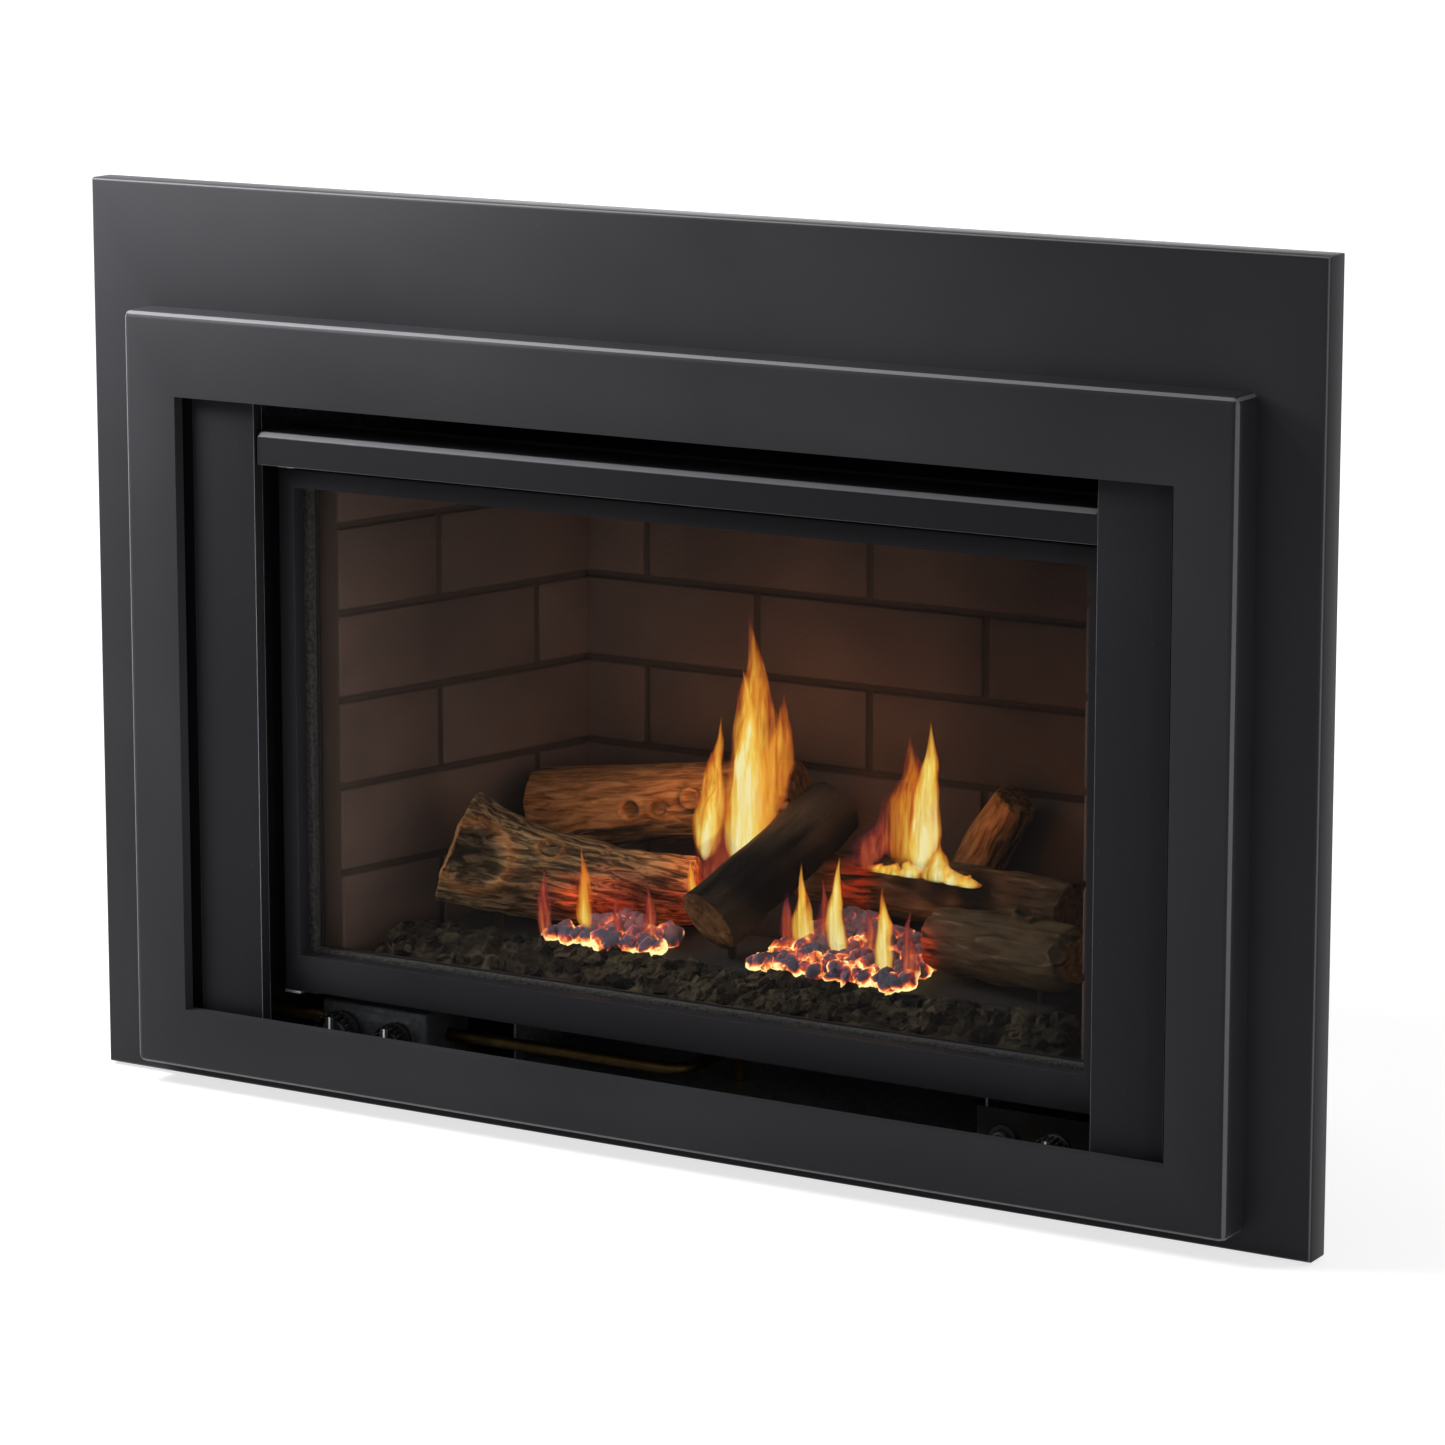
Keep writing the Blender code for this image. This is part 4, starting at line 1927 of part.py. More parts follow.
def main():
    """Build every body of the insert."""
    build_faceplate()
    build_magnets()
    build_casing()
    build_levelling_bolts()
    build_columns()
    build_rail()
    build_firebox()
    build_supports()
    build_brick_panels()
    build_flue()
    tray, shelf = build_burner()
    build_ports(tray)
    build_logs(tray, shelf)
    build_beds()
    build_pilot()
    build_hinge_brackets()
    build_catch()
    shutter_low = build_venturi()
    build_injector()
    build_manifold()
    build_valve()
    build_control_plate()
    build_fan_control()
    build_gland()
    build_blower_housing()
    build_blower_motor()

    bezel_slide = empty_at("bezel_slide", Vector((0, FRONT_Y, BEZEL_BOTTOM)))
    build_bezel(bezel_slide)
    door_axis = empty_at("door_hinge_axis", Vector((HINGE_X, HINGE_Y, DOOR_BOTTOM)))
    build_door_frame(door_axis)
    build_glass(door_axis)
    shutter_axis = empty_at("air_shutter_axis", Vector((VENTURI_X, VENTURI_Y, shutter_low)))
    build_air_shutter(shutter_low, shutter_axis)
    valve_face = VALVE_FRONT_Y - VALVE_BOSS_HEIGHT - SEAT_GAP
    fan_face = PLATE_FRONT_Y - FAN_SHAFT_LENGTH - SEAT_GAP
    for name, radius, x, y, z in (
        ("gas_knob", GAS_KNOB_RADIUS, GAS_KNOB_X, valve_face, PIPE_Z),
        ("flame_knob", FLAME_KNOB_RADIUS, FLAME_KNOB_X, valve_face, PIPE_Z),
        ("fan_knob", FAN_KNOB_RADIUS, FAN_KNOB_X, fan_face, CONTROL_Z),
    ):
        spot = Vector((x, y, z))
        build_knob(name, radius, spot, empty_at(f"{name}_axis", spot))
    button_place = Vector((IGNITER_X, PLATE_FRONT_Y, CONTROL_Z))
    build_igniter(empty_at("igniter_slide", button_place))
    wheel_place = Vector(((BLOWER_LEFT_X + BLOWER_RIGHT_X) / 2, BLOWER_Y, BLOWER_AXIS_Z))
    build_blower_wheel(empty_at("wheel_axis", wheel_place))


main()
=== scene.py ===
"""Looks of a gas fireplace insert: powder-coated trim, glass door, log set, fire and casing.

Metres throughout. The front faces -Y, +X is the right-hand side and +Z is up. Every piece is put
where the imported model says, so its object stays at the origin with its place in its mesh.
"""

from __future__ import annotations

import json
import logging
import math
import random
from collections.abc import Callable, Iterable, Iterator, Sequence
from contextlib import contextmanager
from dataclasses import dataclass, field
from enum import Enum
from functools import partial

import bpy
from mathutils import Matrix, Vector, noise

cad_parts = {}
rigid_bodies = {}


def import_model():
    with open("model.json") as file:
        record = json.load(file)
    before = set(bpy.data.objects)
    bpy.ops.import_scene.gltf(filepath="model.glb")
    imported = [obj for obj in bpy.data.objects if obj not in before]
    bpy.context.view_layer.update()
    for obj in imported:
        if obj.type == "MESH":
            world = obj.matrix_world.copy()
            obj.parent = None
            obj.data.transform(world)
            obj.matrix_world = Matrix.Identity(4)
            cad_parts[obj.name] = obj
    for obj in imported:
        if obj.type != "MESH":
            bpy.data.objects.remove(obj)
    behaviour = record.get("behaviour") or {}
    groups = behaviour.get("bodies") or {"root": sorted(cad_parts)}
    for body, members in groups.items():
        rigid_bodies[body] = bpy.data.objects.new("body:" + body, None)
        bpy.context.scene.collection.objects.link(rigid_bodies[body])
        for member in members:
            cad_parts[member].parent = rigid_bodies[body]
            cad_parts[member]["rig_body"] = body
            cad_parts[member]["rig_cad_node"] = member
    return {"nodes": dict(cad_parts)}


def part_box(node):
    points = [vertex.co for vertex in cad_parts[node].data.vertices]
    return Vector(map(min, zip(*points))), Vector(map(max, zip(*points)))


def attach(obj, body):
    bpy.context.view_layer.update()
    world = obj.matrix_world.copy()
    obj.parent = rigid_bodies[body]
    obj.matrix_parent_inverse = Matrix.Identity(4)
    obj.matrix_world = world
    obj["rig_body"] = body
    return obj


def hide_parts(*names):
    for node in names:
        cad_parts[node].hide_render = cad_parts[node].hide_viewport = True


LOG = logging.getLogger("gas_fireplace_insert")
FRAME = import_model()
NODES = FRAME["nodes"]
Spot = tuple[float, float, float]
Place = tuple[Spot, float]
Colour = tuple[float, float, float, float]
Relief = tuple[float, float, float, float]
Stops = Sequence[tuple[float, str]]
Outline = Sequence[tuple[float, float]]
Piece = bpy.types.Object
Tree = bpy.types.NodeTree
Socket = bpy.types.NodeSocket
Adder = Callable[..., Socket]
ORIGIN: Spot = (0.0, 0.0, 0.0)
UP: Spot = (0.0, 0.0, 1.0)
WHITE: Colour = (1.0, 1.0, 1.0, 1.0)
BLEND = {"out": 2, "data_type": "RGBA"}


class Body(Enum):
    """The bodies that a piece can ride on."""

    INSERT = "insert"
    BEZEL = "bezel"
    DOOR = "door"
    GAS_KNOB = "gas_knob"
    FLAME_KNOB = "flame_knob"
    FAN_KNOB = "fan_knob"
    BUTTON = "igniter_button"
    SHUTTER = "air_shutter"


class Axis(Enum):
    """The turn that lays a piece drawn along +Z along another axis."""

    Y = (-math.pi / 2, 0.0, 0.0)
    Z = (0.0, 0.0, 0.0)


class Pick(Enum):
    """The kind of element that an edit works on: its select mode, and its place in a mesh."""

    VERT = ((True, False, False), "vertices")
    FACE = ((False, False, True), "polygons")


def linear(hex_colour: str) -> Colour:
    """Turn an sRGB hex colour into linear light.

    Args:
        hex_colour: A colour such as "#2B2B2E".

    Returns:
        Red, green, blue and an alpha of one.
    """
    parts = [int(hex_colour[index : index + 2], 16) / 255 for index in (1, 3, 5)]
    red, green, blue = (v / 12.92 if v <= 0.04045 else ((v + 0.055) / 1.055) ** 2.4 for v in parts)
    return red, green, blue, 1.0


def share_of(value: float) -> float:
    """The value, kept between nothing and one."""
    return min(max(value, 0.0), 1.0)


def feed(tree: Tree, node: bpy.types.Node, inputs: dict) -> None:
    """Give a node's inputs their values, or link them to other nodes' outputs."""
    for key, value in inputs.items():
        if isinstance(value, Socket):
            tree.links.new(value, node.inputs[key])
        else:
            node.inputs[key].default_value = value


def add_node(
    tree: Tree,
    kind: str,
    inputs: dict | None = None,
    stops: Stops = (),
    out: int | str = 0,
    **settings,
) -> Socket:
    """Add one node with its settings, its links and, on a ramp, its colour stops.

    Args:
        tree: The node tree that it goes in.
        kind: The node's type name after "ShaderNode".
        inputs: A value or another node's output for each input socket.
        stops: The place and hex colour of each stop, for a colour ramp.
        out: The name or the number of the output that is wanted.
        settings: Properties of the node itself.

    Returns:
        That output of the new node.
    """
    made = tree.nodes.new(f"ShaderNode{kind}")
    for key, value in settings.items():
        setattr(made, key, value)
    feed(tree, made, inputs or {})
    for index, (place, colour) in enumerate(stops):
        ramp = made.color_ramp.elements
        stop = ramp[index] if index < len(ramp) else ramp.new(place)
        stop.position = place
        stop.color = linear(colour)
    return made.outputs[out]


def shaded(name: str, shade: Callable[[Adder, Socket], dict]) -> bpy.types.Material:
    """Make a material, with shader inputs that are worked out from the point on the piece."""
    made = bpy.data.materials.new(name)
    made.use_nodes = True
    add = partial(add_node, made.node_tree)
    place = add("TexCoord", out="Object")
    feed(made.node_tree, made.node_tree.nodes["Principled BSDF"], shade(add, place))
    return made


@dataclass(frozen=True)
class Finish:
    """A finish of the real object, which makes its material once."""

    name: str
    slot: str

    def shade(self, add: Adder, place: Socket) -> dict:
        """Work out the shader's inputs. Each finish does this in its own way.

        Args:
            add: Adds a node to the material.
            place: The point on the piece.

        Returns:
            A value or a node's output for each input that the finish sets.
        """
        raise NotImplementedError

    def material(self) -> bpy.types.Material:
        """The finish's material, made at its first use."""
        return bpy.data.materials.get(self.name) or shaded(self.name, self.shade)

    @staticmethod
    def skin(add: Adder, place: Socket, relief: Relief, rough: float = 0.5) -> Socket:
        """Draw a fine, even texture in relief.

        Args:
            add: Adds a node to the material.
            place: The point on the piece.
            relief: The grains to a metre, their finer layers, and the relief's strength and depth.
            rough: How strong the finer layers are.

        Returns:
            The bumped normal.
        """
        scale, detail, strength, depth = relief
        look = {"Scale": scale, "Detail": detail, "Roughness": rough}
        grain = add("TexNoise", {"Vector": place, **look})
        return add("Bump", {"Height": grain, "Strength": strength, "Distance": depth})


@dataclass(frozen=True)
class PowderCoat(Finish):
    """Polyester powder coat baked on sheet steel: satin, with a fine orange peel of about 1 mm.

    The attribute "fold" marks the folds, which are painted pale grey: a painted highlight along
    every fold.
    """

    colour: str = "#2A2A2D"
    worn: str = "#343437"
    rough: float = 0.42
    peel: float = 0.0011
    # The pale grey of the painted highlight along the folds.
    fold_highlight: str = "#77777B"
    dust: str = "#5A5753"

    def shade(self, add: Adder, place: Socket) -> dict:
        """Satin charcoal with slight cloudiness, dust, orange peel and a painted highlight on the
        folds.
        """
        cloud = add("TexNoise", {"Vector": place, "Scale": 4.0, "Detail": 3.0})
        tone = add("ValToRGB", {"Fac": cloud}, ((0.30, self.colour), (0.75, self.worn)))
        dust = add("TexNoise", {"Vector": place, "Scale": 260.0, "Detail": 2.0, "Roughness": 0.7})
        fleck = add("MapRange", {"Value": dust, "From Min": 0.68, "From Max": 0.80, "To Max": 0.20})
        dusty = add("Mix", {0: fleck, 6: tone, 7: linear(self.dust)}, **BLEND)
        fold = add("Attribute", out="Fac", attribute_name="fold")
        sheen = {"Value": cloud, "To Min": self.rough - 0.05, "To Max": self.rough + 0.07}
        return {
            # The folds are mixed toward that pale grey: a painted highlight along every fold.
            "Base Color": add("Mix", {0: fold, 6: dusty, 7: linear(self.fold_highlight)}, **BLEND),
            "Roughness": add("MapRange", sheen),
            "Normal": self.skin(add, place, (1 / self.peel, 1.0, 0.10, 0.0004)),
            "Specular IOR Level": 0.09,
        }


@dataclass(frozen=True)
class CloudedFinish(Finish):
    """An even finish: one tone clouds into another, over a fine and regular relief.

    The fields name the clouds' scale, detail and roughness, the two places on the ramp where the
    tones stand, and the relief's scale, detail, strength and depth.
    """

    colour: str
    pale: str
    rough: float
    clouds: Spot
    span: tuple[float, float]
    relief: Relief
    metallic: float = 0.0
    shine: float = 0.5

    def shade(self, add: Adder, place: Socket) -> dict:
        """Two clouded tones and the relief."""
        look = dict(zip(("Scale", "Detail", "Roughness"), self.clouds))
        cloud = add("TexNoise", {"Vector": place, **look})
        tones = tuple(zip(self.span, (self.colour, self.pale)))
        return {
            "Base Color": add("ValToRGB", {"Fac": cloud}, tones),
            "Roughness": self.rough,
            "Metallic": self.metallic,
            "Normal": self.skin(add, place, self.relief),
            "Specular IOR Level": self.shine,
        }


@dataclass(frozen=True)
class HeatProofPaint(CloudedFinish):
    """Sprayed heat-proof silicone paint on steel: matt black, greyer where dust has settled.

    Its grit is drawn 1 mm coarse, so that it shows.
    """

    colour: str = "#1B1A1A"
    pale: str = "#2B2725"
    rough: float = 0.72
    clouds: Spot = (9.0, 6.0, 0.6)
    span: tuple[float, float] = (0.35, 0.80)
    relief: Relief = (900.0, 2.0, 0.22, 0.0004)
    shine: float = 0.10


@dataclass(frozen=True)
class MachinedMetal(CloudedFinish):
    """Turned brass or plated steel: slightly tarnished, with tool marks drawn 0.4 mm apart."""

    clouds: Spot = (60.0, 4.0, 0.6)
    span: tuple[float, float] = (0.30, 0.62)
    relief: Relief = (2500.0, 1.0, 0.10, 0.0002)
    metallic: float = 1.0


@dataclass(frozen=True)
class Moulded(CloudedFinish):
    """Moulded phenolic or glazed porcelain: even colour over a mould texture of 0.6 to 2 mm."""

    colour: str = "#1D1D1F"
    pale: str = "#2A2A2C"
    rough: float = 0.5
    clouds: Spot = (45.0, 3.0, 0.5)
    span: tuple[float, float] = (0.3, 0.8)
    relief: Relief = (1 / 0.0006, 1.0, 0.12, 0.0002)


@dataclass(frozen=True)
class CoatedSteel(Finish):
    """Steel sheet dipped in zinc or aluminium: dull metal with spangle 3 mm across."""

    bright: str
    dull: str
    spangle: float
    rough: float

    def shade(self, add: Adder, place: Socket) -> dict:
        """Crystal patches that differ in tone and in roughness, with fine drawing lines."""
        cells = add("TexVoronoi", {"Vector": place, "Scale": 1 / self.spangle}, out="Color")
        patch = add("SeparateColor", {"Color": cells}, out="Red")
        stain = add("TexNoise", {"Vector": place, "Scale": 14.0, "Detail": 5.0, "Roughness": 0.6})
        both = add("Math", {0: patch, 1: stain}, operation="MULTIPLY")
        polish = patch.node.outputs["Green"]
        sheen = {"Value": polish, "To Min": self.rough - 0.08, "To Max": self.rough + 0.14}
        return {
            "Base Color": add("ValToRGB", {"Fac": both}, ((0.10, self.dull), (0.55, self.bright))),
            "Roughness": add("MapRange", sheen),
            "Normal": self.skin(add, place, (500.0, 2.0, 0.08, 0.0003)),
            "Metallic": 0.7,
        }


@dataclass(frozen=True)
class FibreBrick(Finish):
    """Vacuum-formed ceramic fibre, painted as brick: brown with soot, and darker sunk joints.

    The joints are 3 mm deep, so the depth below the panel's face tells brick from mortar.
    """

    face: Spot = ORIGIN
    normal: Spot = (0.0, -1.0, 0.0)
    brick: str = "#5F4C43"
    burnt: str = "#4A3C35"
    mortar: str = "#3B302A"
    soot: str = "#3A302B"

    def shade(self, add: Adder, place: Socket) -> dict:
        """Brick tone that changes from brick to brick, sooty toward the top."""
        offset = add("VectorMath", {0: place, 1: self.face}, operation="SUBTRACT")
        depth = add("VectorMath", {0: offset, 1: self.normal}, out="Value", operation="DOT_PRODUCT")
        joint = add("MapRange", {"Value": depth, "From Min": -0.0024, "From Max": -0.0010})
        uneven = {"Scale": 11.0, "Detail": 6.0, "Roughness": 0.62}
        patches = add("TexNoise", {"Vector": place, **uneven})
        tone = add("ValToRGB", {"Fac": patches}, ((0.34, self.burnt), (0.66, self.brick)))
        wall = add("Mix", {0: joint, 6: linear(self.mortar), 7: tone}, **BLEND)
        height = add("SeparateXYZ", {"Vector": place}, out="Z")
        rising = {"Value": height, "From Min": 0.20, "From Max": 0.48, "To Max": 0.35}
        sooty = add("MapRange", rising)
        return {
            "Base Color": add("Mix", {0: sooty, 6: wall, 7: linear(self.soot)}, **BLEND),
            "Normal": self.skin(add, place, (320.0, 5.0, 0.55, 0.0016), 0.7),
            "Roughness": 0.92,
            "Specular IOR Level": 0.04,
        }


@dataclass(frozen=True)
class FibreLog(Finish):
    """Moulded ceramic fibre, painted as wood: grain 5 mm apart along the log, charred hollows.

    The attribute "wood" tells pale split wood from bark, and "char" how burnt a place is.
    """

    turn: Spot = ORIGIN
    bark: str = "#7A6249"
    wood: str = "#A06A3C"
    # The red of the painted firelight near the flames.
    glow: str = "#FF3A10"
    char: str = "#0D0A09"
    grain: Spot = (0.026, 0.0048, 0.0048)
    firelight: tuple[tuple[Spot, float, float], ...] = ()

    def shade(self, add: Adder, place: Socket) -> dict:
        """Bark and split wood with char, and a red glow near the flames: painted firelight."""
        lie = {"Rotation": self.turn, "Scale": self.grain}
        along = add("Mapping", {"Vector": place, **lie}, vector_type="TEXTURE")
        rings = {"Scale": 1.0, "Detail": 6.0, "Roughness": 0.66, "Distortion": 0.7}
        grain = add("TexNoise", {"Vector": along, **rings})
        barks = ((0.32, "#2A1E13"), (0.47, "#4C3B28"), (0.60, self.bark), (0.80, "#A08862"))
        splits = ((0.32, "#56341C"), (0.52, self.wood), (0.80, "#C4935C"))
        wood = add("Attribute", out="Fac", attribute_name="wood")
        bark, split = (add("ValToRGB", {"Fac": grain}, stops) for stops in (barks, splits))
        skin = add("Mix", {0: wood, 6: bark, 7: split}, **BLEND)
        char = add("Attribute", out="Fac", attribute_name="char")
        return {
            "Base Color": add("Mix", {0: char, 6: skin, 7: linear(self.char)}, **BLEND),
            "Normal": add("Bump", {"Height": grain, "Strength": 0.8, "Distance": 0.0022}),
            "Roughness": 0.88,
            "Specular IOR Level": 0.04,
            **self.light_up(add, place, grain),
        }

    def light_up(self, add: Adder, place: Socket, grain: Socket) -> dict:
        """Add the red glow round each spot near the flames: painted firelight on the log.

        Args:
            add: Adds a node to the material.
            place: The point on the piece.
            grain: The pattern that breaks the glow up.

        Returns:
            The shader's inputs that give off the glow.
        """
        if not self.firelight:
            return {}
        total = None
        for centre, radius, strength in self.firelight:
            away = add("VectorMath", {0: place, 1: centre}, out="Value", operation="DISTANCE")
            reach = {"From Min": radius, "From Max": radius * 0.15, "To Max": strength}
            near = add("MapRange", {"Value": away, **reach}, interpolation_type="SMOOTHSTEP")
            total = near if total is None else add("Math", {0: total, 1: near}, operation="ADD")
        broken = add("MapRange", {"Value": grain, "From Min": 0.40, "From Max": 0.62})
        return {
            "Emission Strength": add("Math", {0: total, 1: broken}, operation="MULTIPLY"),
            "Emission Color": linear(self.glow),
        }


@dataclass(frozen=True)
class CrushedCoal(Finish):
    """Crushed mineral coal, broken to 8 to 14 mm: black with brown, dusty fracture faces."""

    tones: Stops = ((0.05, "#0B0A09"), (0.28, "#231D16"), (0.60, "#484030"))

    def shade(self, add: Adder, place: Socket) -> dict:
        """Dark chips, each with its own tone."""
        lump = add("TexVoronoi", {"Vector": place, "Scale": 90.0}, out="Color")
        each = add("SeparateColor", {"Color": lump}, out="Red")
        fine = add("TexNoise", {"Vector": place, "Scale": 300.0, "Detail": 5.0})
        blend = add("Math", {0: each, 1: fine}, operation="MULTIPLY")
        return {
            "Base Color": add("ValToRGB", {"Fac": blend}, self.tones),
            "Normal": add("Bump", {"Height": fine, "Strength": 0.5, "Distance": 0.0012}),
            "Roughness": 0.66,
            "Specular IOR Level": 0.04,
        }


@dataclass(frozen=True)
class GlowingEmber(Finish):
    """Ember wool over the burner ports: grey tufts about 9 mm wide with white-hot gaps between.

    The attribute "glow" says how hot a place is.
    """

    ash: str = "#45414C"
    heats: Stops = (
        (0.16, "#2C2838"),
        (0.36, "#6A2F3C"),
        (0.48, "#CC3215"),
        (0.60, "#F7691E"),
        (0.74, "#FFB04A"),
        (0.92, "#FFE6A0"),
    )

    def shade(self, add: Adder, place: Socket) -> dict:
        """Glow by depth between the tufts: grey-violet crowns, red flanks, yellow-white gaps."""
        heat = add("Attribute", out="Fac", attribute_name="glow")
        wobble = add("TexNoise", {"Vector": place, "Scale": 210.0, "Detail": 3.0})
        uneven = add("Math", {0: wobble, 1: 0.5}, operation="SUBTRACT")
        level = add("Math", {0: uneven, 1: 0.9, 2: heat}, operation="MULTIPLY_ADD")
        power = {"Value": level, "From Min": 0.10, "From Max": 0.90, "To Min": 0.08, "To Max": 1.45}
        return {
            "Emission Color": add("ValToRGB", {"Fac": level}, self.heats),
            "Emission Strength": add("MapRange", power),
            "Normal": add("Bump", {"Height": wobble, "Strength": 0.5, "Distance": 0.001}),
            "Base Color": linear(self.ash),
            "Roughness": 0.9,
        }


@dataclass(frozen=True)
class GasFlame(Finish):
    """A luminous gas flame: violet-red and thin at the edge, yellow-white in the core.

    The attribute "glow" runs from the edge to the core, and "veil" says how dense the flame is.
    """

    heats: Stops = (
        (0.0, "#3B2352"),
        (0.10, "#8E1F1E"),
        (0.24, "#D2521A"),
        (0.42, "#F5912A"),
        (0.60, "#FFC044"),
        (0.80, "#FFE06A"),
        (1.0, "#FFF2AE"),
    )
    streak: Spot = (0.0042, 0.0042, 0.045)

    def shade(self, add: Adder, place: Socket) -> dict:
        """Light from the heat, in streaks about 4 mm wide that run upward."""
        drawn = add("Mapping", {"Vector": place, "Scale": self.streak}, vector_type="TEXTURE")
        streak = add("TexNoise", {"Vector": drawn, "Scale": 1.0, "Detail": 3.0, "Distortion": 0.4})
        middle = {"Value": streak, "From Min": 0.3, "From Max": 0.7}
        heat, veil = (add("Attribute", out="Fac", attribute_name=name) for name in ("glow", "veil"))
        shift = add("MapRange", {**middle, "To Min": -0.22, "To Max": 0.20})
        level = add("Math", {0: heat, 1: shift}, operation="ADD")
        thin = add("MapRange", {**middle, "To Min": 0.55, "To Max": 1.25})
        return {
            "Emission Color": add("ValToRGB", {"Fac": level}, self.heats),
            "Emission Strength": 1.0,
            "Alpha": add("Math", {0: veil, 1: thin}, operation="MULTIPLY", use_clamp=True),
            "Base Color": (0.0, 0.0, 0.0, 1.0),
            "Roughness": 1.0,
            "Specular IOR Level": 0.0,
        }


@dataclass(frozen=True)
class CeramicGlass(Finish):
    """Rolled glass-ceramic, 5 mm thick: clear with a faint amber cast and a clean polish."""

    cast: str = "#191614"

    def shade(self, add: Adder, place: Socket) -> dict:
        """A thin dark veil with a polished surface, slightly uneven."""
        haze = add("TexNoise", {"Vector": place, "Scale": 2.2, "Detail": 4.0})
        veil = {"Value": haze, "From Min": 0.3, "From Max": 0.7, "To Min": 0.05, "To Max": 0.09}
        return {
            "Alpha": add("MapRange", veil),
            "Base Color": linear(self.cast),
            "Roughness": 0.04,
            "Specular IOR Level": 0.30,
        }


@dataclass(frozen=True)
class GlassRope(Finish):
    """Knitted glass-fibre rope, graphite black, with stitches about 3 mm apart."""

    tones: Stops = ((0.0, "#3B3A39"), (0.8, "#161515"))
    strength: float = 0.8
    depth: float = 0.001

    def shade(self, add: Adder, place: Socket) -> dict:
        """A dark knit with slightly paler strands."""
        knit = add("TexVoronoi", {"Vector": place, "Scale": 330.0}, out="Distance")
        stitch = {"Strength": self.strength, "Distance": self.depth}
        return {
            "Base Color": add("ValToRGB", {"Fac": knit}, self.tones),
            "Normal": add("Bump", {"Height": knit, **stitch}, invert=True),
            "Roughness": 0.95,
        }


MATT_MOULD: Relief = (1 / 0.0008, 1.0, 0.12, 0.0002)
GLAZE: Relief = (1 / 0.002, 1.0, 0.12, 0.0002)
CHARCOAL = PowderCoat("satin_charcoal_powder_coat", "charcoal_coat")
# A darker copy of the charcoal coat: painted shade for the columns, rail and door frame in the
# recess behind the bezel.
SHADED_COAT = PowderCoat("charcoal_powder_coat_painted_shade", "charcoal_coat", "#19191C", "#202023", 0.48)
BLACK_PAINT = HeatProofPaint("heat_proof_black_paint", "black_paint")
ZINC = CoatedSteel("zinc_plated_steel", "zinc_steel", "#A6A8AA", "#8E9092", 0.003, 0.36)
ALUMINISED = CoatedSteel(
    "aluminised_steel_sheet", "aluminised_steel", "#9C9E9F", "#868889", 0.0035, 0.50
)
# Die-cast aluminium drawn far darker than its own grey: painted shade of the dark recess behind the
# bezel.
DIE_CAST_IN_PAINTED_SHADE = CoatedSteel("die_cast_aluminium_in_painted_shade", "aluminised_steel", "#545658", "#47494B", 0.0035, 0.58)
BRASS = MachinedMetal("turned_brass", "brass", "#5E4A26", "#8F7340", 0.36)
TARNISHED_BRASS = MachinedMetal("tarnished_brass_pipe", "brass", "#382C1A", "#57462A", 0.52)
PLATED = MachinedMetal("bright_zinc_screw_plate", "zinc_steel", "#94979A", "#C4C6C8", 0.30)
PHENOLIC = Moulded("moulded_black_phenolic", "phenolic", shine=0.16)
MARKING = Moulded("white_pad_print", "porcelain", "#D8D6D0", "#E6E4DE", 0.45, relief=MATT_MOULD)
PORCELAIN = Moulded(
    "glazed_white_porcelain", "porcelain", "#DDDAD2", "#EBE8E1", 0.18, relief=GLAZE
)
COAL = CrushedCoal("crushed_mineral_coal", "coal")
EMBER = GlowingEmber("glowing_ember_wool", "ember")
FLAME = GasFlame("luminous_gas_flame", "ember")
ROSE_FLAME = GasFlame(
    "rose_gas_flame",
    "ember",
    ((0.0, "#2A1A3C"), (0.22, "#6A2430"), (0.50, "#B84A30"), (0.78, "#EE8A52"), (1.0, "#FFD09A")),
)
GLASS = CeramicGlass("clear_glass_ceramic", "fire_glass")
ROPE = GlassRope("knitted_glass_fibre_rope", "rope")


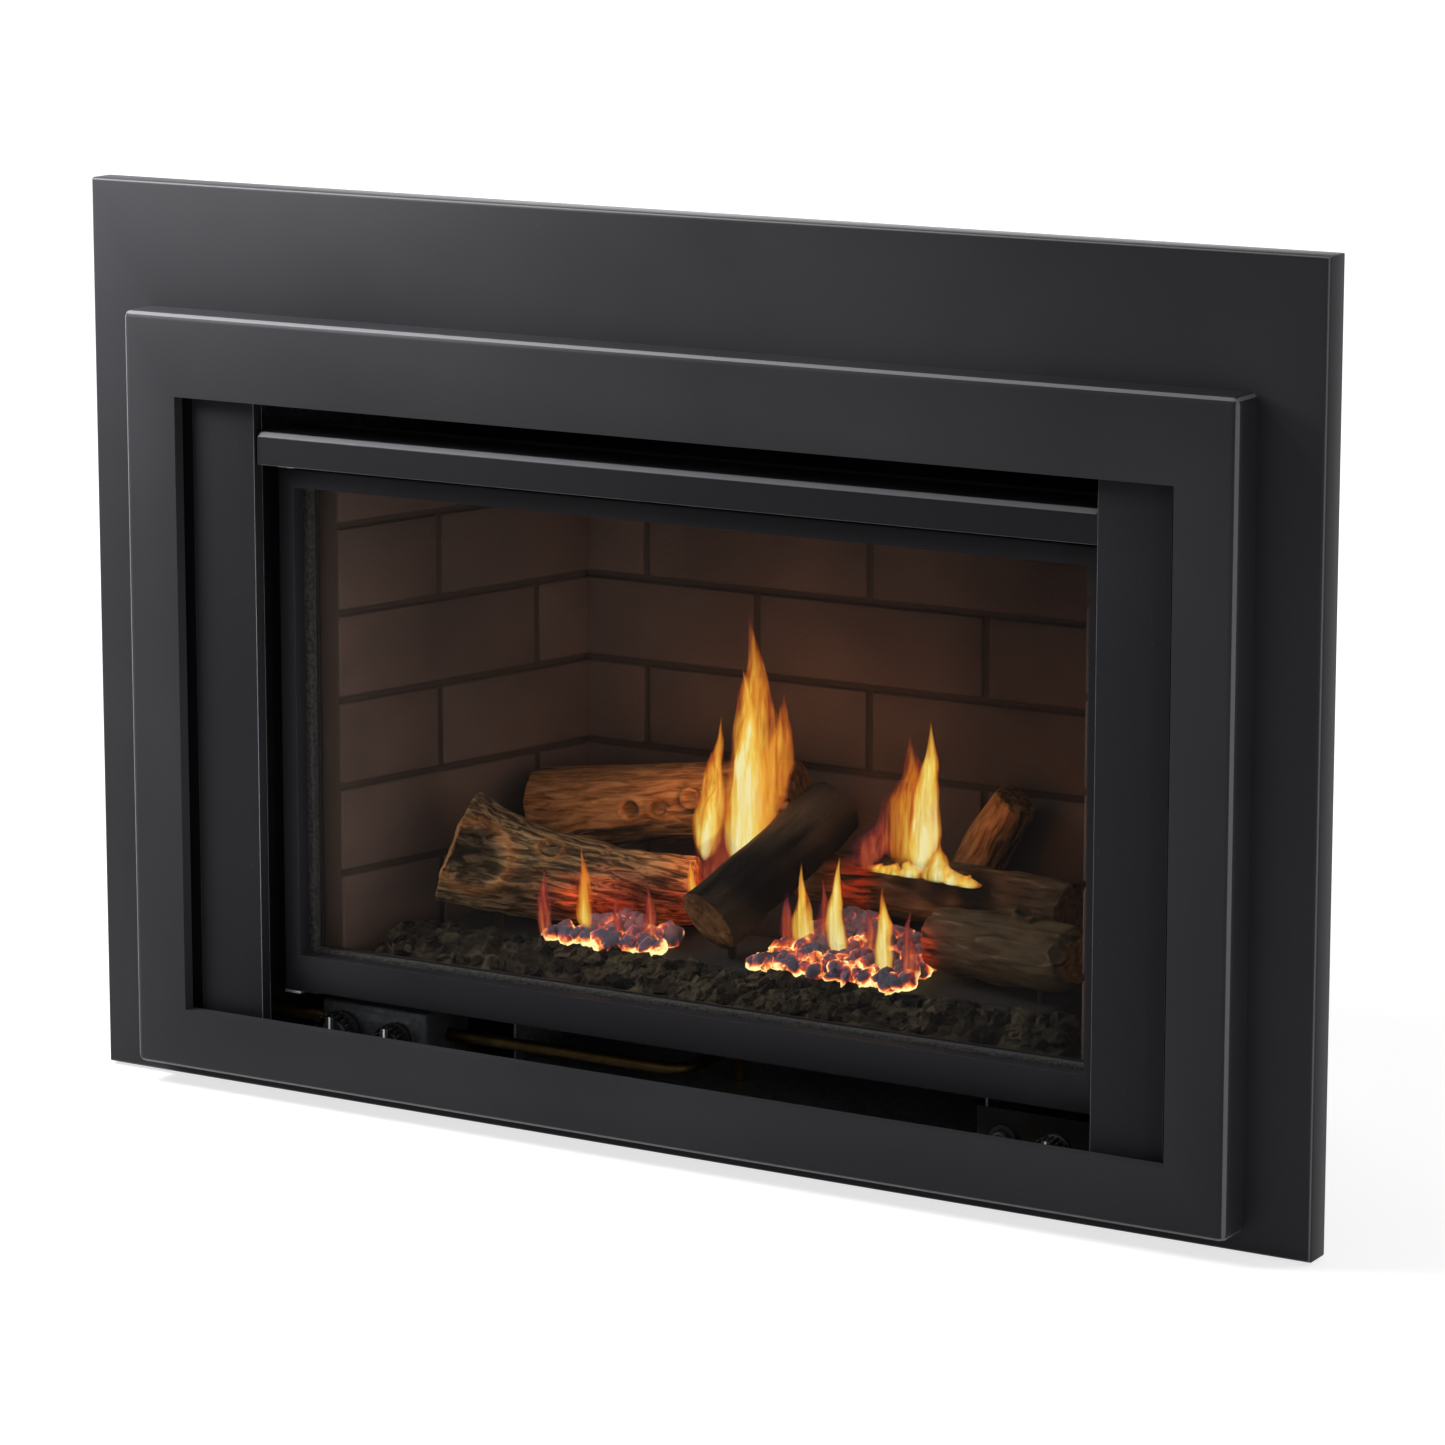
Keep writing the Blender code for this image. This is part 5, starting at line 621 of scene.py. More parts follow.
class Bench:
    """The modelling steps that all the sub-assemblies share."""

    @staticmethod
    def only(piece: Piece) -> None:
        """Select one piece alone and make it active."""
        bpy.ops.object.select_all(action="DESELECT")
        piece.select_set(True)
        bpy.context.view_layer.objects.active = piece

    @staticmethod
    def add(name: str, operator: Callable, **settings) -> Piece:
        """Add one of Blender's simple shapes and name it."""
        bpy.ops.object.select_all(action="DESELECT")
        operator(**settings)
        piece = bpy.context.active_object
        piece.name = name
        return piece

    @staticmethod
    def settle(piece: Piece) -> Piece:
        """Put the piece's place, turn and size into its mesh."""
        Bench.only(piece)
        bpy.ops.object.transform_apply(location=True, rotation=True, scale=True)
        return piece

    @staticmethod
    @contextmanager
    def editing(piece: Piece, pick: Pick, chosen: Callable | None = None) -> Iterator[None]:
        """Open a piece in edit mode with some of its elements selected.

        Args:
            piece: The piece to edit.
            pick: Whether vertices or faces are picked.
            chosen: A test of one element. All are selected without it.

        Yields:
            Nothing, while operators work on the piece.
        """
        Bench.only(piece)
        mesh = piece.data
        mode, kind = pick.value
        bpy.context.tool_settings.mesh_select_mode = mode
        for group in (mesh.vertices, mesh.edges, mesh.polygons):
            group.foreach_set("select", [False] * len(group))
        for item in getattr(mesh, kind):
            item.select = chosen is None or bool(chosen(item))
        bpy.ops.object.mode_set(mode="EDIT")
        try:
            yield
        finally:
            bpy.ops.object.mode_set(mode="OBJECT")

    @staticmethod
    def modify(piece: Piece, kind: str, **settings) -> None:
        """Give a piece one modifier with its settings, and apply it."""
        Bench.only(piece)
        modifier = piece.modifiers.new(kind.lower(), kind)
        for key, value in settings.items():
            setattr(modifier, key, value)
        bpy.ops.object.modifier_apply(modifier=modifier.name)

    @staticmethod
    def box(name: str, low: Spot, high: Spot) -> Piece:
        """Add a cube at its size and place, between two corners."""
        middle = [(a + b) / 2 for a, b in zip(low, high)]
        piece = Bench.add(name, bpy.ops.mesh.primitive_cube_add, size=1.0, location=middle)
        piece.scale = [b - a for a, b in zip(low, high)]
        return Bench.settle(piece)

    @staticmethod
    def drum(
        name: str, centre: Spot, radius: float, length: float, axis: Axis = Axis.Z, sides: int = 32
    ) -> Piece:
        """Add a cylinder about its centre, along an axis."""
        size = {"vertices": sides, "radius": radius, "depth": length}
        place = {"location": centre, "rotation": axis.value}
        return Bench.settle(Bench.add(name, bpy.ops.mesh.primitive_cylinder_add, **size, **place))

    @staticmethod
    def turned(name: str, centre: Spot, outline: Outline, sides: int) -> Piece:
        """Turn an outline round +Z, from a sphere whose rings take the outline's places.

        Args:
            name: The piece's name.
            centre: The point that heights are counted from.
            outline: Radius and height of each ring, from the foot to the top.
            sides: How many sides the round has.

        Returns:
            A closed solid of revolution.
        """
        rings = {"segments": sides, "ring_count": len(outline) + 1}
        piece = Bench.add(name, bpy.ops.mesh.primitive_uv_sphere_add, radius=1.0, **rings)
        levels = sorted({round(vert.co.z, 5) for vert in piece.data.vertices})
        for vert in piece.data.vertices:
            level = levels.index(round(vert.co.z, 5))
            reach = math.hypot(vert.co.x, vert.co.y)
            radius, height = outline[min(max(level - 1, 0), len(outline) - 1)]
            if reach < 1e-4:
                vert.co = (0.0, 0.0, height)
            else:
                vert.co = (vert.co.x / reach * radius, vert.co.y / reach * radius, height)
        piece.location = centre
        Bench.settle(piece)
        bpy.ops.object.shade_smooth_by_angle(angle=math.radians(32))
        return piece

    @staticmethod
    def facing(spot: Spot, normal: Spot = UP, spin: float = 0.0) -> Matrix:
        """The placing that lays a piece's +Z along a face's normal.

        Args:
            spot: The point on the face.
            normal: The face's outward direction.
            spin: A turn round the normal, in degrees.

        Returns:
            The placing.
        """
        turn = Vector(UP).rotation_difference(Vector(normal)).to_matrix().to_4x4()
        return Matrix.Translation(spot) @ turn @ Matrix.Rotation(math.radians(spin), 4, "Z")

    @staticmethod
    def hex_screw(size: float) -> Piece:
        """Model a self-drilling screw's head: a hexagon with a dished top over a washer.

        Args:
            size: The washer's radius in metres.

        Returns:
            The head, seated on the origin and pointing up.
        """
        rings = ((1.0, 0.0), (1.0, 0.10), (0.92, 0.18), (0.60, 0.20))
        outline = [(radius * size, height * size) for radius, height in rings]
        washer = Bench.turned("washer", ORIGIN, outline, 18)
        head = Bench.drum("head", (0.0, 0.0, 0.40 * size), 0.68 * size, 0.50 * size, sides=6)
        with Bench.editing(head, Pick.FACE, lambda face: face.normal.z > 0.9):
            bpy.ops.mesh.inset(thickness=0.14 * size, depth=0.0)
            bpy.ops.mesh.inset(thickness=0.05 * size, depth=-0.10 * size)
        Bench.soften(head, 0.05 * size, 1)
        return Bench.join("screw", (washer, head))

    @staticmethod
    def soften(piece: Piece, width: float, segments: int = 2, angle: float = 35.0) -> None:
        """Round the sharp edges with an applied bevel, and shade the piece smooth by angle."""
        Bench.only(piece)
        if width > 0:
            fold = {"limit_method": "ANGLE", "angle_limit": math.radians(angle)}
            Bench.modify(piece, "BEVEL", width=width, segments=segments, **fold)
        bpy.ops.object.shade_smooth_by_angle(angle=math.radians(angle + 5))

    @staticmethod
    def twin(piece: Piece) -> Piece:
        """Copy a piece with a mesh of its own."""
        made = piece.copy()
        made.data = piece.data.copy()
        bpy.context.scene.collection.objects.link(made)
        return made

    @staticmethod
    def refine(node: str, width: float, segments: int = 2, angle: float = 35.0) -> Piece:
        """Copy a node's solid, clean its faces and round its edges.

        Args:
            node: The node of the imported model.
            width: How far in the edges are rounded.
            segments: The steps of the rounding.
            angle: The least fold, in degrees, that is rounded.

        Returns:
            A new piece in the node's place.
        """
        made = Bench.twin(NODES[node])
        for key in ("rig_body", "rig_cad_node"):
            if key in made:
                del made[key]
        made.parent = None
        made.name = f"{node}_finished"
        with Bench.editing(made, Pick.VERT):
            bpy.ops.mesh.remove_doubles(threshold=0.00001)
            bpy.ops.mesh.dissolve_limited(angle_limit=math.radians(1.0))
        Bench.soften(made, width, segments, angle)
        return made

    @staticmethod
    def copies(master: Piece, name: str, places: Iterable[Matrix]) -> Piece:
        """Copy a piece to many places and join the copies.

        Args:
            master: The piece drawn round the origin. It is removed at the end.
            name: The joined piece's name.
            places: The place of each copy.

        Returns:
            The joined piece.
        """
        made = []
        for place in places:
            made.append(Bench.twin(master))
            made[-1].data.transform(place)
        bpy.data.objects.remove(master, do_unlink=True)
        return Bench.join(name, made)

    @staticmethod
    def join(name: str, pieces: Sequence[Piece]) -> Piece:
        """Join pieces into the first one, and name it."""
        Bench.only(pieces[0])
        for piece in pieces:
            piece.select_set(True)
        bpy.ops.object.join()
        pieces[0].name = name
        return pieces[0]

    @staticmethod
    def subtract(piece: Piece, tool: Piece) -> None:
        """Cut one piece out of another, and remove the tool."""
        Bench.modify(piece, "BOOLEAN", operation="DIFFERENCE", solver="EXACT", object=tool)
        bpy.data.objects.remove(tool, do_unlink=True)

    @staticmethod
    def paint(piece: Piece, name: str, values: Sequence[float], domain: str = "POINT") -> None:
        """Write one number for each point or face of a piece as a named attribute."""
        layer = piece.data.attributes.new(name, "FLOAT", domain)
        layer.data.foreach_set("value", values)

    @staticmethod
    def mark_folds(piece: Piece) -> None:
        """Mark the faces half-way round each fold for the painted highlight. The piece's flat faces
        lie along the axes.
        """
        slants = [1 - max(abs(value) for value in face.normal) for face in piece.data.polygons]
        Bench.paint(piece, "fold", [share_of((slant - 0.10) / 0.12) for slant in slants], "FACE")


@dataclass
class Assembly:
    """A sub-assembly that hands over its pieces as it makes them."""

    body: Body = Body.INSERT
    made: list[str] = field(default_factory=list)

    def hand_over(
        self, piece: Piece, finish: Finish, *nodes: str, body: Body | None = None
    ) -> None:
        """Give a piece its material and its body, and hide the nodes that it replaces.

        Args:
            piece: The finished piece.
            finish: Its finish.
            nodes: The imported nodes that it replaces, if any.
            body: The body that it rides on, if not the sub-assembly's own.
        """
        piece.data.materials.clear()
        piece.data.materials.append(finish.material())
        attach(piece, (body or self.body).value)
        if nodes:
            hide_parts(*nodes)
        self.made.append(piece.name)

    def refined(
        self,
        finish: Finish,
        width: float,
        *nodes: str,
        segments: int = 2,
        angle: float = 35.0,
        body: Body | None = None,
    ) -> None:
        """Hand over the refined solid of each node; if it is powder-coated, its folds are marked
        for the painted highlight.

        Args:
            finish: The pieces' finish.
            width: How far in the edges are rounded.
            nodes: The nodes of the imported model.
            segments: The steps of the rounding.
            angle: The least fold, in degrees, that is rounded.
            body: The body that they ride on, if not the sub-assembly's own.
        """
        for node in nodes:
            piece = Bench.refine(node, width, segments, angle)
            if isinstance(finish, PowderCoat):
                Bench.mark_folds(piece)
            self.hand_over(piece, finish, node, body=body)

    def screw_down(self, name: str, size: float, places: Iterable[Matrix]) -> None:
        """Drive a row of screws, with washers of one radius."""
        self.hand_over(Bench.copies(Bench.hex_screw(size), name, places), PLATED)

    def dress(self, node: str, finish: Finish) -> None:
        """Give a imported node, whose shape is right, its better material."""
        materials = NODES[node].data.materials
        if len(materials) == 0:
            materials.append(finish.material())
        for index in range(len(materials)):
            materials[index] = finish.material()
        self.made.append(node)

    def build(self) -> None:
        """Make every piece. Each sub-assembly does this in its own way."""
        raise NotImplementedError


@dataclass
class Trim(Assembly):
    """Faceplate, bezel, columns and rail: folded sheet steel in satin powder coat."""

    fold_radius: float = 0.0009

    def build(self) -> None:
        """Round the folds of each sheet and coat it."""
        shaded_nodes = ("column_left", "column_right", "outlet_rail")
        self.refined(CHARCOAL, self.fold_radius, "faceplate", segments=3)
        # The columns and rail take the darker copy of the coat, as painted shade of the recess.
        self.refined(SHADED_COAT, self.fold_radius, *shaded_nodes, segments=3)
        self.refined(CHARCOAL, 0.0, "bezel", angle=40.0, body=Body.BEZEL)


@dataclass
class FireChamber(Assembly):
    """Firebox, brick liner, burner tray, shelf and pilot."""

    arris: float = 0.0011
    taper: float = math.atan2(0.074, 0.270)

    def build(self) -> None:
        """Dress the steel and give each liner panel its own brick face."""
        for node in ("firebox", "burner_tray", "log_shelf"):
            self.dress(node, BLACK_PAINT)
        self.refined(ZINC, 0.0003, "pilot_burner", "thermopile")
        self.refined(PORCELAIN, 0.0002, "spark_electrode")
        self.brick("brick_panel_rear", (0.0, -1.0, 0.0))
        self.brick("brick_panel_right", (-math.cos(self.taper), -math.sin(self.taper), 0.0))
        self.brick("brick_panel_left", (math.cos(self.taper), -math.sin(self.taper), 0.0))

    def brick(self, node: str, normal: Spot) -> None:
        """Round the arrises of one liner panel and colour its bricks and joints.

        Args:
            node: The panel's node.
            normal: The direction that its brick face looks in.
        """
        piece = Bench.refine(node, self.arris, 2, 40.0)
        face = max(piece.data.vertices, key=lambda vert: vert.co.dot(Vector(normal)))
        finish = FibreBrick(f"fibre_{node}", "fibre_brick", face=tuple(face.co), normal=normal)
        self.hand_over(piece, finish, node)


@dataclass
class LogLook:
    """How one log of the set is finished: knots, scorched and firelight hold spots and radii."""

    node: str
    number: int
    bark: str = "#7A6249"
    split: Spot = ORIGIN
    split_from: float = 1.0
    char: float = 0.20
    firelight: tuple[tuple[Spot, float, float], ...] = ()
    knots: tuple[Place, ...] = ()
    scorched: tuple[Place, ...] = ()

    def scorch(self, spot: Vector) -> float:
        """How black the flames have burnt one spot."""
        away = [(spot - Vector(centre)).length / radius for centre, radius in self.scorched]
        return max([1.6 * (1 - share) for share in away if share < 1], default=0.0)

    def knot(self, spot: Vector) -> tuple[float, float]:
        """Tell how much of a spot is a knot's rim, and how much its hollow.

        Args:
            spot: A point on the log.

        Returns:
            The rim's share and the hollow's share, each from 0 to 1.
        """
        rim = hollow = 0.0
        for centre, radius in self.knots:
            share = (spot - Vector(centre)).length / radius
            rim = max(rim, math.exp(-(((share - 1.0) / 0.17) ** 2)))
            hollow = max(hollow, share_of((0.95 - share) * 3.0))
        return rim, hollow


LOGS = (
    LogLook(
        "log_rear_left",
        1,
        "#8A6A48",
        (0.0, -0.62, 0.78),
        0.35,
        0.10,
        (((-0.02, -0.02, 0.215), 0.045, 0.45), ((-0.055, 0.0, 0.20), 0.05, 0.20)),
        (
            ((-0.150, 0.003, 0.207), 0.009),
            ((-0.126, 0.004, 0.211), 0.010),
            ((-0.098, 0.006, 0.221), 0.008),
        ),
    ),
    LogLook(
        "log_front_left",
        2,
        "#9C7D58",
        char=0.10,
        firelight=(((-0.125, -0.075, 0.148), 0.045, 0.22), ((-0.070, -0.03, 0.160), 0.040, 0.55)),
        knots=(((-0.214, -0.116, 0.186), 0.028), ((-0.165, -0.085, 0.196), 0.011)),
    ),
    LogLook(
        "log_crossing", 3, "#3A2B20", char=0.72, firelight=(((-0.035, -0.045, 0.185), 0.028, 0.5),)
    ),
    LogLook(
        "log_right",
        4,
        "#5A4937",
        char=0.25,
        firelight=(((0.045, 0.0, 0.175), 0.030, 0.5),),
        scorched=tuple(
            ((0.06 + 0.03 * step, -0.010, 0.186 - 0.001 * step), 0.030) for step in range(4)
        ),
    ),
    LogLook("log_stub", 5, "#8A5E38", (-0.7, -0.7, 0.1), 0.30, 0.10),
    LogLook(
        "log_front_right", 6, "#4C4232", char=0.30, firelight=(((0.145, -0.07, 0.150), 0.022, 0.4),)
    ),
)


@dataclass
class LogSet(Assembly):
    """Six ceramic logs with deep bark, split faces, knots and charred hollows."""

    cell: float = 0.0018
    furrow_depth: float = 0.0030
    furrow_pitch: float = 0.0065
    block_depth: float = 0.0016
    rim_height: float = 0.0012
    hollow_depth: float = 0.0030

    def build(self) -> None:
        """Carve each log."""
        for look in LOGS:
            self.carve(look)

    def carve(self, look: LogLook) -> None:
        """Remesh a log finely, cut its bark furrows and knots, and paint its wood and char.

        Args:
            look: How this log is finished.
        """
        piece = Bench.refine(look.node, 0.0)
        Bench.modify(piece, "REMESH", mode="VOXEL", voxel_size=self.cell, use_smooth_shade=True)
        points = [vert.co.copy() for vert in piece.data.vertices]
        normals = [vert.normal.copy() for vert in piece.data.vertices]
        middle = sum(points, Vector()) / len(points)
        axis = self.long_axis(points, middle)
        split = Vector(look.split)
        seed = Vector((look.number * 5.1, look.number * 2.3, look.number * 3.7))
        wood, char = [], []
        for vert, normal in zip(piece.data.vertices, normals):
            along = (vert.co - middle).dot(axis)
            across = vert.co - middle - axis * along
            grain = (across / self.furrow_pitch) + axis * (along / (self.furrow_pitch * 6))
            ridge = 1 - abs(noise.noise(grain * 0.5 + seed)) * 2.4
            crack = noise.noise(grain * 1.5 + seed)
            block = noise.noise(vert.co * 46 + seed)
            pale = share_of((normal.dot(split) - look.split_from) * 5)
            pale = max(pale, share_of((abs(normal.dot(axis)) - 0.72) * 5) * 0.8)
            rim, hollow = look.knot(vert.co)
            cut = self.furrow_depth * (1 - 0.6 * max(pale, hollow))
            cut = cut * (ridge * 0.45 + crack * 0.35 - 0.42) + self.block_depth * block * (1 - pale)
            vert.co += normal * (cut + self.rim_height * rim - self.hollow_depth * hollow)
            wood.append(max(pale * (0.75 + 0.25 * crack), 0.75 * rim))
            burnt = noise.noise(vert.co * 24 + seed * 2) * 0.8 + look.char - 0.30 * pale
            burnt += max(0.0, 0.35 - ridge) * 0.5 + 0.45 * hollow * (1 - rim) + look.scorch(vert.co)
            char.append(share_of(burnt))
        Bench.paint(piece, "wood", wood)
        Bench.paint(piece, "char", char)
        turn = tuple(axis.to_track_quat("X", "Z").to_euler())
        tone = {"turn": turn, "bark": look.bark, "firelight": look.firelight}
        self.hand_over(piece, FibreLog(f"fibre_{look.node}", "fibre_log", **tone), look.node)

    @staticmethod
    def long_axis(points: Sequence[Vector], middle: Vector) -> Vector:
        """Find the direction in which a log is longest.

        Args:
            points: The log's points.
            middle: Their middle.

        Returns:
            A unit vector along the log.
        """
        axis = Vector((1.0, 0.3, 0.2)).normalized()
        for _ in range(12):
            total = Vector()
            for point in points[::7]:
                arm = point - middle
                total += arm * arm.dot(axis)
            axis = total.normalized()
        return axis


@dataclass
class Mound:
    """A heap of ember wool: low in front, and highest at the rear below its peak."""

    wide: tuple[float, float]
    deep: tuple[float, float]
    peak: float
    rise: float

    def back(self, y: float) -> float:
        """How far back a place is, from nothing at the front to one at the rear."""
        return (y - self.deep[0]) / (self.deep[1] - self.deep[0])

    def top(self, x: float, y: float) -> float | None:
        """Give the heap's height at one place, or None outside its slanting left edge.

        Args:
            x: The place from left to right.
            y: The place from front to rear.

        Returns:
            The height over the heap's foot.
        """
        back = self.back(y)
        if x < self.wide[0] + (self.peak - self.wide[0]) * 0.75 * back:
            return None
        reach = self.wide[1] - self.peak if x > self.peak else self.peak - self.wide[0]
        return self.rise * back * (1.0 - 0.62 * min(abs(x - self.peak) / reach, 1.0))


@dataclass
class FuelBed(Assembly):
    """Crushed coal before the tray, and ember wool over the burner ports."""

    seed: int = 7
    lump_size: float = 0.0062
    coal_count: int = 520
    edge: float = 0.006

    def build(self) -> None:
        """Heap the coal on its bed, and the tufts of wool on theirs, the same in each run."""
        noise.seed_set(self.seed)
        self.dress("coal_bed", COAL)
        self.heap_coal()
        left = Mound((-0.165, -0.066), (-0.094, -0.066), -0.115, 0.016)
        right = Mound((0.012, 0.146), (-0.095, -0.022), 0.060, 0.030)
        self.heap_embers("ember_bed_left", 90, left)
        self.heap_embers("ember_bed_right", 280, right)

    def chip(self, name: str, rough: float, smooth: bool) -> Piece:
        """Model one lump: a subdivided cube pulled to a ball, then broken up.

        Args:
            name: The lump's name.
            rough: How far its corners are moved, as a share of its size.
            smooth: Whether it is soft like wool, or sharp like coal.

        Returns:
            A lump one unit across, round the origin.
        """
        lump = Bench.box(name, (-0.5, -0.5, -0.5), (0.5, 0.5, 0.5))
        with Bench.editing(lump, Pick.FACE):
            bpy.ops.mesh.subdivide(number_cuts=2 if smooth else 1)
            bpy.ops.transform.tosphere(value=0.95 if smooth else 0.55)
        shift = Vector((self.seed, 0, 0))
        for vert in lump.data.vertices:
            vert.co += Vector(noise.noise_vector(vert.co * 2.3 + shift)) * rough
        if smooth:
            Bench.soften(lump, 0.0, angle=60.0)
        self.seed += 3
        return lump

    def place(self, chance: random.Random, spot: Vector) -> Matrix:
        """Turn and size one lump at random.

        Args:
            chance: The seeded source of chance.
            spot: Where the lump lies.

        Returns:
            The lump's placing.
        """
        turn = Matrix.Rotation(chance.uniform(0, math.tau), 4, Vector(noise.random_unit_vector()))
        grown = [self.lump_size * chance.uniform(1.1, 2.1) for _ in range(3)]
        return Matrix.Translation(spot) @ turn @ Matrix.Diagonal((*grown, 1.0))

    def heap_coal(self) -> None:
        """Cover the coal bed's slope with chips of three shapes."""
        low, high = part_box("coal_bed")
        chance = random.Random(11)
        for shape in range(3):
            places = []
            for _ in range(self.coal_count // 3):
                back = chance.random()
                x = chance.uniform(low.x + self.edge, high.x - self.edge)
                y = low.y + self.edge + (high.y - low.y - 2 * self.edge) * back
                z = low.z + 0.0075 + 0.0125 * back + chance.uniform(-0.002, 0.0025)
                places.append(self.place(chance, Vector((x, y, z))))
            heap = Bench.copies(self.chip("coal_chip", 0.30, False), f"coal_heap_{shape}", places)
            self.hand_over(heap, COAL)

    def heap_embers(self, node: str, count: int, mound: Mound) -> None:
        """Cover one ember bed with tufts, cool on their crowns and white-hot between them.

        Args:
            node: The bed's node.
            count: The number of tufts.
            mound: Where and how high they are heaped.
        """
        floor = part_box(node)[0].z + 0.0035
        chance = random.Random(count)
        places = []
        while len(places) < count:
            x, y = chance.uniform(*mound.wide), chance.uniform(*mound.deep)
            top = mound.top(x, y)
            if top is not None:
                spot = Vector((x, y, floor + top + chance.uniform(-0.0012, 0.0015)))
                places.append(self.place(chance, spot))
        heap = Bench.copies(self.chip("ember_tuft", 0.26, True), f"{node}_tufts", places)
        crown = Vector((0.2, -0.62, 0.76))
        glow = []
        for vert in heap.data.vertices:
            cool = 0.98 * max(vert.normal.dot(crown), 0.0)
            patch = noise.noise(vert.co * 75)
            glow.append(share_of(1.06 - cool - 0.22 * mound.back(vert.co.y) + 0.95 * patch))
        Bench.paint(heap, "glow", glow)
        self.hand_over(heap, EMBER, node)


@dataclass
class Tongue:
    """One tongue of flame: where it is, how it swells and bends, how dense it is and how hot."""

    name: str
    root: Spot
    tip: Spot
    width: float
    widest: float
    bend: float
    density: float
    heat: float
    finish: GasFlame = FLAME


LARGE_TONGUES = {
    "tall": ((-0.034, -0.010, 0.180), (-0.036, 0.0, 0.378), 0.050, 0.34, 0.003, 0.66, 0.74),
    "tall_core": ((-0.032, -0.020, 0.174), (-0.037, -0.010, 0.336), 0.036, 0.32, 0.002, 1.0, 1.18),
    "shoulder": ((-0.026, -0.002, 0.200), (-0.013, 0.002, 0.318), 0.028, 0.45, 0.002, 0.55, 0.62),
    "side": ((-0.070, -0.016, 0.182), (-0.064, 0.0, 0.294), 0.030, 0.28, 0.003, 0.78, 0.78),
    "side_core": ((-0.067, -0.022, 0.182), (-0.061, -0.012, 0.250), 0.017, 0.35, 0.002, 0.9, 1.0),
    "root": ((-0.056, -0.026, 0.164), (-0.050, -0.020, 0.214), 0.046, 0.4, 0.003, 0.4, 0.55),
    "right": ((0.096, 0.000, 0.192), (0.099, 0.004, 0.294), 0.048, 0.36, 0.003, 0.48, 0.50),
    "right_core": ((0.112, -0.008, 0.190), (0.118, -0.002, 0.310), 0.030, 0.34, 0.002, 1.0, 1.12),
    "red": ((0.058, 0.004, 0.184), (0.072, 0.006, 0.234), 0.034, 0.42, 0.003, 0.5, 0.55),
}


